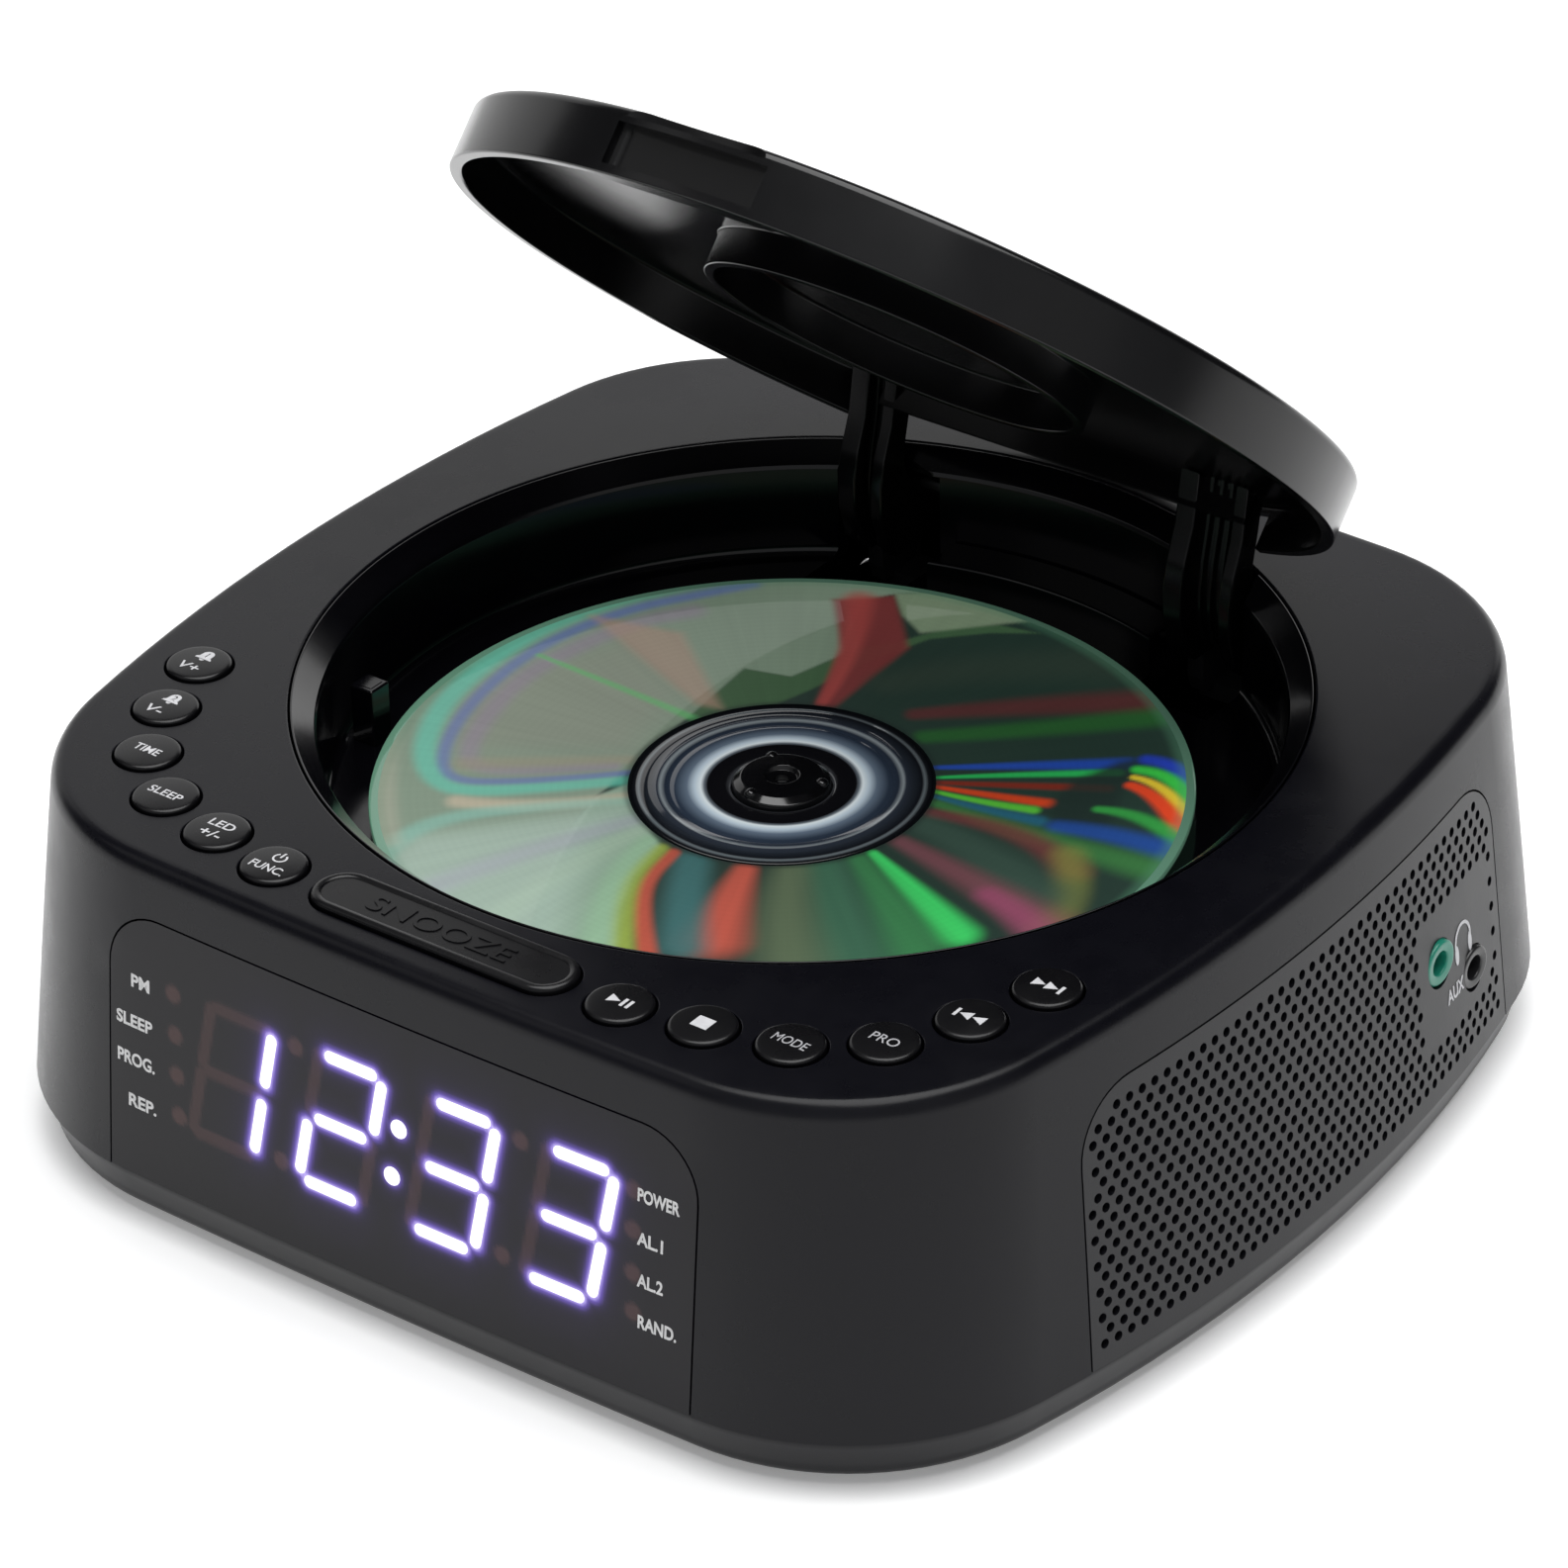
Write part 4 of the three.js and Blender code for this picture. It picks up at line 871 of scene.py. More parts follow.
def grille(side):
    edge = densify(panel_shape(GR_Y0 + HB, GR_Y1 - HB, Z_PART + 0.2, GR_TOP - HB, GR_R - HB, lean=GR_LEAN), 3.0)
    ctr = []
    for j in range(20):
        z = 49.0 - j * PITCH_Z
        for i in range(50):
            y = -56.0 - 0.03 * j + i * PITCH_Y + (j % 2) * PITCH_Y / 2
            ctr.append((y, z))
    ctr = np.array(ctr)
    ctr = ctr[inside_poly(ctr, edge)]
    ctr = ctr[poly_dist(ctr, edge) > 1.35]
    if side > 0:
        plate = np.array([(28.6, 18.6), (28.6, 37.2), (51.6, 37.2), (52.2, 36.0), (52.2, 20.0), (50.8, 18.6)])
        ctr = ctr[~inside_poly(ctr, plate)]
    holes = [[(c[0] + HOLE_R * math.cos(t), c[1] + HOLE_R * math.sin(t)) for t in np.arange(12) * math.pi / 6 + 0.26] for c in ctr]
    if side > 0:
        holes.append([tuple(p) for p in circle(HP[0], HP[1], 3.75, 32)])
        holes.append([tuple(p) for p in circle(AUX[0], AUX[1], 3.55, 32)])
    u, t = cdt([], [edge] + holes, holes=holes)

    def F(y, z, d):
        return (side * (x_side(y, z) - d), y, z)

    bag = Bag()
    slab(bag, u, t, F, 1.4, m=0, m_in=1)
    name = "grille_panel_" + ("right" if side > 0 else "left")
    add_object(name, bag.mesh(name), [M["grille"], M["dark"]], "case",
               ["grille_right" if side > 0 else "grille_left"], sharp=30)
    # dark cloth behind the holes
    back_poly = densify(panel_shape(GR_Y0 + 2.5, GR_Y1 - 2.5, Z_PART + 2.5, GR_TOP - 2.5, GR_R - 2.0, lean=GR_LEAN), 6.0)
    cl_holes = []
    if side > 0:
        cl_holes = [[tuple(p) for p in circle(HP[0], HP[1], 3.8, 24)], [tuple(p) for p in circle(AUX[0], AUX[1], 3.6, 24)]]
    u, t = cdt([], [back_poly] + cl_holes, outer=back_poly, holes=cl_holes)
    bag = Bag()
    slab(bag, u, t, lambda y, z, d: (side * (x_side(y, z) - 1.55 - d), y, z), 0.35)
    add_object("grille_cloth_" + ("right" if side > 0 else "left"), bag.mesh("cloth"), [M["cone"]], "case", wn=False)


grille(1)
grille(-1)

# headphone symbol and line-in word beside the sockets
bag = Bag()
hx, hz, hr = 42.3, 29.0, 2.5


def F_right(y, z, d):
    return (x_side(y, z) + d, y, z)


def band(bag, pts_a, pts_b, F, d0, d1):
    poly = list(pts_a) + list(reversed(pts_b))
    n = len(pts_a)
    v = np.array(list(pts_a) + list(pts_b))
    t = []
    for i in range(n - 1):
        t += [(i, i + 1, n + i + 1), (i, n + i + 1, n + i)]
    lay(bag, v, t, F, d0, d1)


ta = np.linspace(math.radians(-12), math.radians(192), 22)
band(bag, [(hx + 2.75 * math.cos(t), hz + 0.3 + 2.9 * math.sin(t)) for t in ta],
     [(hx + 2.25 * math.cos(t), hz + 0.3 + 2.4 * math.sin(t)) for t in ta], F_right, 0.03, 0.09)
for sgn in (1, -1):
    cx = hx + sgn * 2.25
    decal(bag, [(cx + 0.75 * math.cos(t) * 0.8, hz - 1.1 + 1.55 * math.sin(t)) for t in np.linspace(0, 2 * math.pi, 16, endpoint=False)], F_right, 0.09, -0.02)
v, f = word("AUX", 5.4, 2.1, offset=0.15)
lay(bag, v + np.array([38.7, 23.0]), f, F_right, 0.09, -0.02)
add_object("socket_legends", bag.mesh("socket_legends", merge=0), [M["ink"]], "case", wn=False, smooth=False)


# sockets
def socket(name, node, y, z, ro, ri, mat, slot):
    xs = x_side(y, z)
    prof = rounded([(ri, xs - 9.0), (ri, xs + 0.15), (ro, xs + 0.35), (ro, xs - 12.5)], {1: 0.35, 2: 0.45}, 5)
    prof = [(ri, xs - 9.0)] + prof[1:]
    n = 48
    bag = Bag()
    rings = [[(x, y + r * math.cos(t), z + r * math.sin(t)) for t in np.arange(n) * 2 * math.pi / n] for r, x in prof]
    ids = bag.rings(rings)
    bag.fan(ids[0], (xs - 9.0, y, z))
    bag.fan(ids[-1], (xs - 12.5, y, z))
    add_object(name, bag.mesh(name), [mat], "case", [node], sharp=50)
    # inner contact ring
    bag = Bag()
    rr = [(ri - 0.02, xs - 3.2), (ri - 0.35, xs - 3.3), (ri - 0.35, xs - 5.0), (ri - 0.02, xs - 5.1)]
    ids = bag.rings([[(x, y + r * math.cos(t), z + r * math.sin(t)) for t in np.arange(32) * 2 * math.pi / 32] for r, x in rr + rr[:1]])
    add_object(name + "_contact", bag.mesh(name + "_contact"), [M["brass"]], "case", wn=False)


socket("headphone_socket", "headphone_jack", *HP, 3.6, 1.85, M["jack_green"], "jack_green")
socket("line_in_socket", "aux_jack", *AUX, 3.4, 1.85, M["jack_black"], "jack_black")

bag = Bag()
vs0, vs1 = sorted((s_back(8.0, 26.0), s_back(51.5, 26.0)))
vp = densify([(vs0, 13.0), (vs1, 13.0), (vs1, 39.0), (vs0, 39.0)], 4.0)
u, t = cdt([], [vp], outer=vp)
slab(bag, u, t, lambda a, b, d: F_wall(a, b, WALL + 0.05 + d), 0.4)
add_object("vent_cloth", bag.mesh("vent_cloth"), [M["cone"]], "case", wn=False)

# ------------------------------------------------------------------ base tray
bag = Bag()
prof = rounded([(0.0, 2.0), (0.0, 0.0)], {}, 1)
levels = []
lo_g, hi_g = PLAN_BASE, PLAN_PART


def base_ring(k, z, inset):
    """k 0 at the bottom plan, 1 at the parting plan."""
    P = {q: lo_g[q] + (hi_g[q] - lo_g[q]) * k for q in lo_g}
    return ring_at(z, inset, plan=P)


for q in np.linspace(0, math.pi / 2, 7):
    levels.append(base_ring(0.0, Z_BASE + 1.9 * (1 - math.cos(q)), 0.1 + 1.6 * (1 - math.sin(q))))
for k in np.linspace(0.15, 1.0, 6):
    levels.append(base_ring(k, 3.9 + (Z_PART - 0.55 - 3.9) * k, 0.1 + 0.4 * k))
levels.append(base_ring(1.0, Z_PART - 0.2, 0.6))
levels.append(base_ring(1.0, Z_PART - 0.05, 0.85))
levels.append(base_ring(1.0, Z_PART - 0.05, 3.0))
levels.append(base_ring(0.5, 5.0, 3.0))
ids = bag.rings(levels)
bot_xy = [p[:2] for p in levels[0]]
BX0, BX1, BY0, BY1 = -52.6, -1.4, 19.0, 43.0
door_hole = densify([(BX0, BY0), (BX1, BY0), (BX1, BY1), (BX0, BY1)], 12)
foot_xy = [(66, -62), (-66, -62), (66, 64), (-66, 64)]
screw_xy = [(58, -56), (-58, -56), (60, 60), (-60, 60)]
screw_holes = [[tuple(p) for p in circle(x, y, 2.6, 28)] for x, y in screw_xy]
vents = []
for i in range(9):
    x0 = 14.0 + i * 5.0
    vents.append(densify([(x0, -26.0), (x0 + 2.0, -26.0), (x0 + 2.0, -2.0), (x0, -2.0)], 6))
hl = [door_hole] + screw_holes + vents
uvb, trib = cdt([], [bot_xy] + hl, outer=bot_xy, holes=hl)
lo = bag.pts([(x, y, Z_BASE) for x, y in uvb])
for a, b, c in trib:
    bag.face((lo[a], lo[c], lo[b]))
in_xy = [p[:2] for p in levels[-1]]
uvb2, trib2 = cdt([], [in_xy] + hl, outer=in_xy, holes=hl)
hi = bag.pts([(x, y, 5.0) for x, y in uvb2])
for a, b, c in trib2:
    bag.face((hi[a], hi[b], hi[c]))
for h in hl:
    bag.rings([[(x, y, Z_BASE) for x, y in h], [(x, y, 5.0) for x, y in h]])
add_object("base_tray", bag.mesh("base_tray"), [M["base"]], "case", ["base_case"], sharp=40)


# rounded slab helper: rounded rectangle in plan, rounded edges
def rrect(x0, x1, y0, y1, r, n=8):
    p = []
    for cx, cy, a0 in ((x1 - r, y0 + r, -90), (x1 - r, y1 - r, 0), (x0 + r, y1 - r, 90), (x0 + r, y0 + r, 180)):
        for t in np.linspace(math.radians(a0), math.radians(a0 + 90), n):
            p.append((cx + r * math.cos(t), cy + r * math.sin(t)))
    return p


def offset_rrect(x0, x1, y0, y1, r, o, n=8):
    return rrect(x0 + o, x1 - o, y0 + o, y1 - o, max(0.05, r - o), n)


def tablet(bag, dims, r, z0, z1, b0, b1, m=0, n=8):
    """Closed plate with rounded plan corners and rounded top (b1) and bottom (b0) edges."""
    x0, x1, y0, y1 = dims
    rings = []
    for q in np.linspace(0, math.pi / 2, 5):
        rings.append([(x, y, z0 + b0 * (1 - math.cos(q))) for x, y in offset_rrect(x0, x1, y0, y1, r, b0 * (1 - math.sin(q)), n)])
    for q in np.linspace(0, math.pi / 2, 5):
        rings.append([(x, y, z1 - b1 * (1 - math.sin(q))) for x, y in offset_rrect(x0, x1, y0, y1, r, b1 * (1 - math.cos(q)), n)])
    ids = bag.rings(rings, m=m)
    bag.fan(ids[0], ((x0 + x1) / 2, (y0 + y1) / 2, z0), m)
    bag.fan(ids[-1], ((x0 + x1) / 2, (y0 + y1) / 2, z1), m)


bag = Bag()
tablet(bag, (BX0 + 0.25, BX1 - 0.25, BY0 + 0.25, BY1 - 0.25), 0.6, Z_BASE + 0.1, Z_BASE + 1.9, 0.25, 0.2)
for i in range(5):
    y = 24.0 + i * 1.6
    tablet(bag, (-31.0, -23.0, y, y + 0.7), 0.3, Z_BASE + 0.02, Z_BASE + 0.4, 0.12, 0.1)
add_object("cell_door", bag.mesh("cell_door", merge=0), [M["base"]], "case", ["battery_door"], sharp=35)

for (x, y), nm in zip(foot_xy, ("foot_front_right", "foot_front_left", "foot_back_right", "foot_back_left")):
    bag = Bag()
    prof = rounded([(0.01, 0.0), (6.6, 0.0), (7.0, Z_BASE - 0.02), (0.01, Z_BASE - 0.02)], {1: 0.6}, 6)
    prof = [(0.01, 0.0), (4.6, 0.0), (4.8, 0.25), (5.2, 0.25), (5.4, 0.0)] + prof[1:]
    ids = bag.rings(lathe_rings(prof, 40, x, y))
    add_object(nm + "_pad", bag.mesh(nm), [M["rubber"]], "case", [nm], sharp=40)

# ------------------------------------------------------------------ keys
KEYNAMES_R = ["play", "stop", "mode", "program", "previous", "next"]
KEYNAMES_L = ["function", "led", "sleep", "time", "volume_down", "volume_up"]


def dome(r):
    """Height of the key cap above its rim over its radius."""
    k = min(1.0, r / (BTN_R - 0.55))
    return BTN_TOP - 0.14 * k * k


def key(x, y, nm):
    prof = [(0.01, BTN_TOP)] + [(r, dome(r)) for r in np.linspace(0.6, BTN_R - 0.55, 8)]
    rim = dome(BTN_R - 0.55)
    for q in np.linspace(0.3, math.pi / 2, 6):
        prof.append((BTN_R - 0.55 + 0.55 * math.sin(q), rim - 0.5 * (1 - math.cos(q))))
    prof += [(BTN_R, 57.6), (5.5, 57.6), (5.5, 55.9), (1.7, 55.9), (1.7, 53.0), (0.01, 53.0)]
    bag = Bag()
    bag.rings(lathe_rings(prof, 56, x, y))
    return add_object("key_cap_" + nm, bag.mesh(nm), [M["key"]], "key_" + nm, ["button_" + nm], sharp=40)


def on_key(kx, ky):
    def F(x, y, d):
        r = math.hypot(x - kx, y - ky)
        return (x, y, dome(r) - d)
    return F


def legend(bag, text, w, h, kx, ky, dx=0.0, dy=0.0, off=0.12, shear=0.0):
    v, f = word(text, w, h, offset=off, shear=shear)
    lay(bag, v + np.array([kx + dx, ky + dy]), f, on_key(kx, ky), -0.035, 0.03)


def icon(bag, poly, kx, ky):
    p = densify([(kx + a, ky + b) for a, b in poly], 0.6)
    u, t = cdt([], [p], outer=p)
    lay(bag, u, t, on_key(kx, ky), -0.035, 0.03)


def arc_band(cx, cy, r, w, a0, a1, n=20):
    ts = np.linspace(math.radians(a0), math.radians(a1), n)
    return [(cx + (r + w / 2) * math.cos(t), cy + (r + w / 2) * math.sin(t)) for t in ts], \
           [(cx + (r - w / 2) * math.cos(t), cy + (r - w / 2) * math.sin(t)) for t in ts]


def bell(bag, kx, ky, dx, dy, digit):
    """Alarm bell outline with a cut-out numeral."""
    s = 1.0
    body = []
    for t in np.linspace(0, math.pi, 12):
        body.append((dx + 0.95 * math.cos(t), dy + 0.35 + 0.95 * math.sin(t)))
    body = [(dx + 1.45, dy - 1.0), (dx + 1.35, dy - 0.65), (dx + 1.0, dy - 0.4)] + body + [(dx - 1.0, dy - 0.4), (dx - 1.35, dy - 0.65), (dx - 1.45, dy - 1.0)]
    body = [(a, b) for a, b in body]
    v, f = text_mesh(digit, 1.9, xs=0.9, offset=0.02)
    hole_polys = []
    p = densify([(kx + a, ky + b) for a, b in body], 0.4)
    clap = [(kx + dx + 0.42 * math.cos(t), ky + dy - 1.12 + 0.42 * math.sin(t)) for t in np.linspace(math.pi, 2 * math.pi, 8)]
    # the numeral is left open by dropping triangles near it
    pts = [(kx + dx + a, ky + dy + 0.18 + b) for a, b in v]
    u, t = cdt(pts, [p], outer=p)
    ctr = u[t].mean(axis=1)
    keep = np.ones(len(t), bool)
    for face in f:
        q = np.array([pts[i] for i in face])
        keep &= ~inside_poly(ctr, q)
    lay(bag, u, t[keep], on_key(kx, ky), -0.035, 0.03)
    u, t = cdt([], [clap], outer=clap)
    lay(bag, u, t, on_key(kx, ky), -0.035, 0.03)


for side, names in ((1, KEYNAMES_R), (-1, KEYNAMES_L)):
    for (bx, by), nm in zip(BTN, names):
        key(side * bx, by, nm)
        kx, ky = side * bx, by
        bag = Bag()
        mat = M["ink"]
        if nm == "play":
            icon(bag, [(-1.75, -0.95), (0.15, 0.0), (-1.75, 0.95)], kx, ky)
            icon(bag, [(0.45, -0.95), (0.95, -0.95), (0.95, 0.95), (0.45, 0.95)], kx, ky)
            icon(bag, [(1.4, -0.95), (1.9, -0.95), (1.9, 0.95), (1.4, 0.95)], kx, ky)
        elif nm == "stop":
            icon(bag, [(-1.35, -1.25), (1.35, -1.25), (1.35, 1.25), (-1.35, 1.25)], kx, ky)
        elif nm == "previous":
            icon(bag, [(-2.45, -0.95), (-1.95, -0.95), (-1.95, 0.95), (-2.45, 0.95)], kx, ky)
            icon(bag, [(-1.75, 0.0), (0.15, -0.95), (0.15, 0.95)], kx, ky)
            icon(bag, [(0.3, 0.0), (2.2, -0.95), (2.2, 0.95)], kx, ky)
        elif nm == "next":
            icon(bag, [(2.45, -0.95), (2.45, 0.95), (1.95, 0.95), (1.95, -0.95)], kx, ky)
            icon(bag, [(-2.2, -0.95), (-0.3, 0.0), (-2.2, 0.95)], kx, ky)
            icon(bag, [(-0.15, -0.95), (1.75, 0.0), (-0.15, 0.95)], kx, ky)
        elif nm == "mode":
            legend(bag, "MODE", 5.5, 1.75, kx, ky, off=0.0)
            mat = M["ink_dim"]
        elif nm == "program":
            legend(bag, "PRO", 4.4, 1.8, kx, ky, off=0.0)
            mat = M["ink_dim"]
        elif nm == "time":
            legend(bag, "TIME", 4.5, 1.65, kx, ky)
        elif nm == "sleep":
            legend(bag, "SLEEP", 5.8, 1.65, kx, ky)
        elif nm == "led":
            legend(bag, "LED", 4.3, 1.7, kx, ky, dy=1.25)
            legend(bag, "+/-", 3.6, 1.3, kx, ky, dy=-1.35)
        elif nm == "function":
            legend(bag, "FUNC.", 5.8, 1.6, kx, ky, dy=-1.45)
            a, b = arc_band(0, 0, 0.98, 0.3, 125, 415)
            band(bag, [(kx + p, ky + 1.35 + q) for p, q in a], [(kx + p, ky + 1.35 + q) for p, q in b], on_key(kx, ky), -0.035, 0.03)
            icon(bag, [(-0.16, 1.4), (0.16, 1.4), (0.16, 2.75), (-0.16, 2.75)], kx, ky)
        elif nm == "volume_up":
            bell(bag, kx, ky, 0.0, 1.75, "1")
            legend(bag, "V+", 3.5, 1.75, kx, ky, dx=-0.3, dy=-1.85, off=0.1, shear=0.12)
        elif nm == "volume_down":
            bell(bag, kx, ky, 0.0, 1.75, "2")
            legend(bag, "V-", 3.0, 1.75, kx, ky, dx=-0.5, dy=-1.85, off=0.1, shear=0.12)
        add_object("legend_" + nm, bag.mesh("legend_" + nm, merge=0), [mat], "key_" + nm, wn=False, smooth=False)

# snooze bar with a sunk face and raised word
bag = Bag()
rings = [[(x, y, 55.9) for x, y in stadium(5.5, SN_HALF)], [(x, y, 57.6) for x, y in stadium(5.5, SN_HALF)],
         [(x, y, 57.6) for x, y in stadium(SN_R, SN_HALF)]]
for q in np.linspace(0, math.pi / 2, 7):
    rings.append([(x, y, SN_TOP - 0.7 * (1 - math.sin(q))) for x, y in stadium(SN_R - 0.7 * (1 - math.cos(q)), SN_HALF)])
for q in np.linspace(0.2, math.pi / 2, 5):
    rings.append([(x, y, SN_TOP - 0.28 * (1 - math.cos(q))) for x, y in stadium(SN_R - 0.7 - 0.75 * math.sin(q), SN_HALF)])
ids = bag.rings(rings)
inner = [(x, y) for x, y, z in rings[-1]]
u, t = cdt([], [inner], outer=inner)
q = bag.pts([(a, b, rings[-1][0][2]) for a, b in u])
for a, b, c in t:
    bag.face((q[a], q[b], q[c]))
low = [(x, y) for x, y, z in rings[0]]
u, t = cdt([], [low], outer=low)
q = bag.pts([(a, b, 55.9) for a, b in u])
for a, b, c in t:
    bag.face((q[a], q[c], q[b]))
add_object("key_cap_snooze", bag.mesh("key_cap_snooze"), [M["key"]], "key_snooze", ["button_snooze"], sharp=45)
face_z = rings[-1][0][2]
v, f = text_mesh("SNOOZE", 4.9, xs=1.22, offset=0.02, space=1.05)
bag = Bag()
lay(bag, v + np.array([-0.6, SN_Y]), f, lambda x, y, d: (x, y, face_z - d), -0.16, 0.05)
add_object("legend_snooze", bag.mesh("legend_snooze", merge=0), [M["key"]], "key_snooze", wn=False, smooth=False)


# ------------------------------------------------------------------ boolean helper
def solid_cut(me, cutters):
    """Exact boolean difference of a mesh with closed cutter meshes; returns a new mesh."""
    ob = bpy.data.objects.new("tmp", me)
    scene.collection.objects.link(ob)
    tmp = [ob]
    for cm in cutters:
        co_ = bpy.data.objects.new("cut", cm)
        scene.collection.objects.link(co_)
        tmp.append(co_)
        mod = ob.modifiers.new("b", "BOOLEAN")
        mod.operation = "DIFFERENCE"
        mod.solver = "EXACT"
        mod.object = co_
    dg = bpy.context.evaluated_depsgraph_get()
    out = bpy.data.meshes.new_from_object(ob.evaluated_get(dg))
    for o in tmp:
        bpy.data.objects.remove(o)
    return out


def prism(poly, axis, c0, c1, smooth_bevel=0.0):
    """Closed extruded polygon. axis 'x': poly is (y, z); 'z': (x, y); 'y': (x, z)."""
    def P(a, b, c):
        return {"x": (c, a, b), "z": (a, b, c), "y": (a, c, b)}[axis]
    poly = [tuple(p) for p in poly]
    u, t = cdt([], [poly], outer=poly)
    bag = Bag()
    slab(bag, u, t, lambda a, b, d: P(a, b, c0 + d), c1 - c0)
    return bag


# ------------------------------------------------------------------ disc well
well_prof = [(0.01, WELL_UNDER), (70.6, WELL_UNDER), (WELL_OUT_R, 41.2), (WELL_OUT_R, 56.4), (WELL_RIM_R, 58.0)]
inner_prof = rounded([(WELL_RIM_R, 58.0), (WELL_RIM_R, 59.95), (WELL_RIM_R - 0.25, 59.95), (70.45, CHAMFER_Z), (WELL_R, 56.4), (WELL_R, WELL_FLOOR),
                      (0.01, WELL_FLOOR)], {1: 0.15, 2: 0.2, 3: 0.6, 4: 0.3, 5: 1.7}, 6)
bag = Bag()
bag.rings(lathe_rings(well_prof + inner_prof[1:], 256, 0, WELL_Y))
me = bag.mesh("well_raw")
slot_poly = [(55.2, 30), (86, 30), (86, 56.3), (71.2, 56.3), (71.2, 61), (60.5, 61), (55.2, 50)]
cut = [prism([tuple(p) for p in circle(0, 0, 16.5, 64)], "z", 30, 50).mesh("c1"),
       prism([(14, -9), (67, -9), (67, 9), (14, 9)], "z", 30, 43.4).mesh("c2"),
       prism(slot_poly, "x", 22.8, 37.2).mesh("c3"), prism(slot_poly, "x", -37.2, -22.8).mesh("c4")]
me = solid_cut(me, cut)
add_object("well_cup", me, [M["gloss"]], "case", ["disc_well"], sharp=35)

# raised step at the back of the well, rounded along its edges
bag = Bag()
step_rings = []
arc_in = [(x, math.sqrt(68.0 ** 2 - x * x)) for x in np.linspace(-20.5, 20.5, 33)]
arc_out = [(x, WELL_Y + math.sqrt(70.1 ** 2 - x * x)) for x in np.linspace(20.5, -20.5, 33)]
step = arc_in + arc_out


def inset_poly(poly, d):
    P = np.asarray(poly, float)
    n = len(P)
    out = []
    for i in range(n):
        a, b, c = P[i - 1], P[i], P[(i + 1) % n]
        u, w = b - a, c - b
        u, w = u / (np.linalg.norm(u) + 1e-12), w / (np.linalg.norm(w) + 1e-12)
        n1, n2 = np.array([-u[1], u[0]]), np.array([-w[1], w[0]])
        k = n1 + n2
        k = k / max(1e-6, (k @ k) / 2)
        out.append(tuple(b + k * d))
    return out


def rounded_block(bag, poly, z0, z1, b, m=0, flip=False):
    """poly counter-clockwise; closed block with rounded top edge."""
    rings = [[(x, y, z0) for x, y in poly]]
    for q in np.linspace(0, math.pi / 2, 5):
        rings.append([(x, y, z1 - b * (1 - math.sin(q))) for x, y in inset_poly(poly, b * (1 - math.cos(q)))])
    bag.rings(rings, m=m)
    for r, upw in ((rings[0], False), (rings[-1], True)):
        p = [(x, y) for x, y, z in r]
        u, t = cdt([], [p], outer=p)
        q = bag.pts([(a, c, r[0][2]) for a, c in u])
        for a, c, d in t:
            bag.face((q[a], q[c], q[d]) if upw else (q[a], q[d], q[c]), m)


ccw = lambda poly: poly if sum((b[0] - a[0]) * (b[1] + a[1]) for a, b in zip(poly, poly[1:] + poly[:1])) < 0 else poly[::-1]
rounded_block(bag, ccw(step), WELL_FLOOR - 0.4, 45.4, 0.5)
add_object("well_step", bag.mesh("well_step"), [M["gloss"]], "case", sharp=35)

# lid switch post
bag = Bag()
rounded_block(bag, rrect(-63.7, -59.5, -21.0, -16.9, 0.35, 4), WELL_FLOOR + 0.15, 50.9, 0.3)
rounded_block(bag, rrect(-63.0, -60.2, -20.3, -17.6, 0.2, 3), 50.7, 50.99, 0.08)
add_object("lid_switch_post", bag.mesh("lid_switch_post", merge=0), [M["gloss"]], "case", ["lid_switch_block"], sharp=35)

# ------------------------------------------------------------------ lid (drawn closed, then swung open)
ROT = Matrix.Translation(Vector((0, HINGE_Y, HINGE_Z)) * MM) @ Matrix.Rotation(-OPEN, 4, "X") @ Matrix.Translation(-Vector((0, HINGE_Y, HINGE_Z)) * MM)
lid_prof = rounded([(0.01, LID_SKIN_Z), (28.0, LID_SKIN_Z), (28.0, 53.6), (29.6, 53.6), (29.6, LID_SKIN_Z), (LID_IN_R, LID_SKIN_Z), (LID_IN_R, LID_RIM_Z),
                    (LID_R, LID_RIM_Z), (LID_R, LID_TOP_Z), (66.0, LID_TOP_Z + 0.12), (0.01, LID_DOME_Z)],
                   {1: 0.4, 2: 0.25, 3: 0.25, 4: 0.4, 5: 0.9, 6: 0.35, 7: 0.35, 8: 1.3, 9: 1.0}, 5)
bag = Bag()
ids = bag.rings(lathe_rings(lid_prof, 224, 0, WELL_Y))
me = bag.mesh("lid_raw")
gy = WELL_Y - LID_R
# block behind the finger pocket
pb = prism(rrect(-14.5, 14.5, gy + 1.6, gy + 6.2, 0.8, 4), "z", LID_RIM_Z + 0.3, 60.0)
me_pb = pb.mesh("pb")


def solid_join(me_a, me_b):
    ob = bpy.data.objects.new("ja", me_a)
    o2 = bpy.data.objects.new("jb", me_b)
    for o in (ob, o2):
        scene.collection.objects.link(o)
    mod = ob.modifiers.new("b", "BOOLEAN")
    mod.operation = "UNION"
    mod.solver = "EXACT"
    mod.object = o2
    dg = bpy.context.evaluated_depsgraph_get()
    out = bpy.data.meshes.new_from_object(ob.evaluated_get(dg))
    bpy.data.objects.remove(ob)
    bpy.data.objects.remove(o2)
    return out


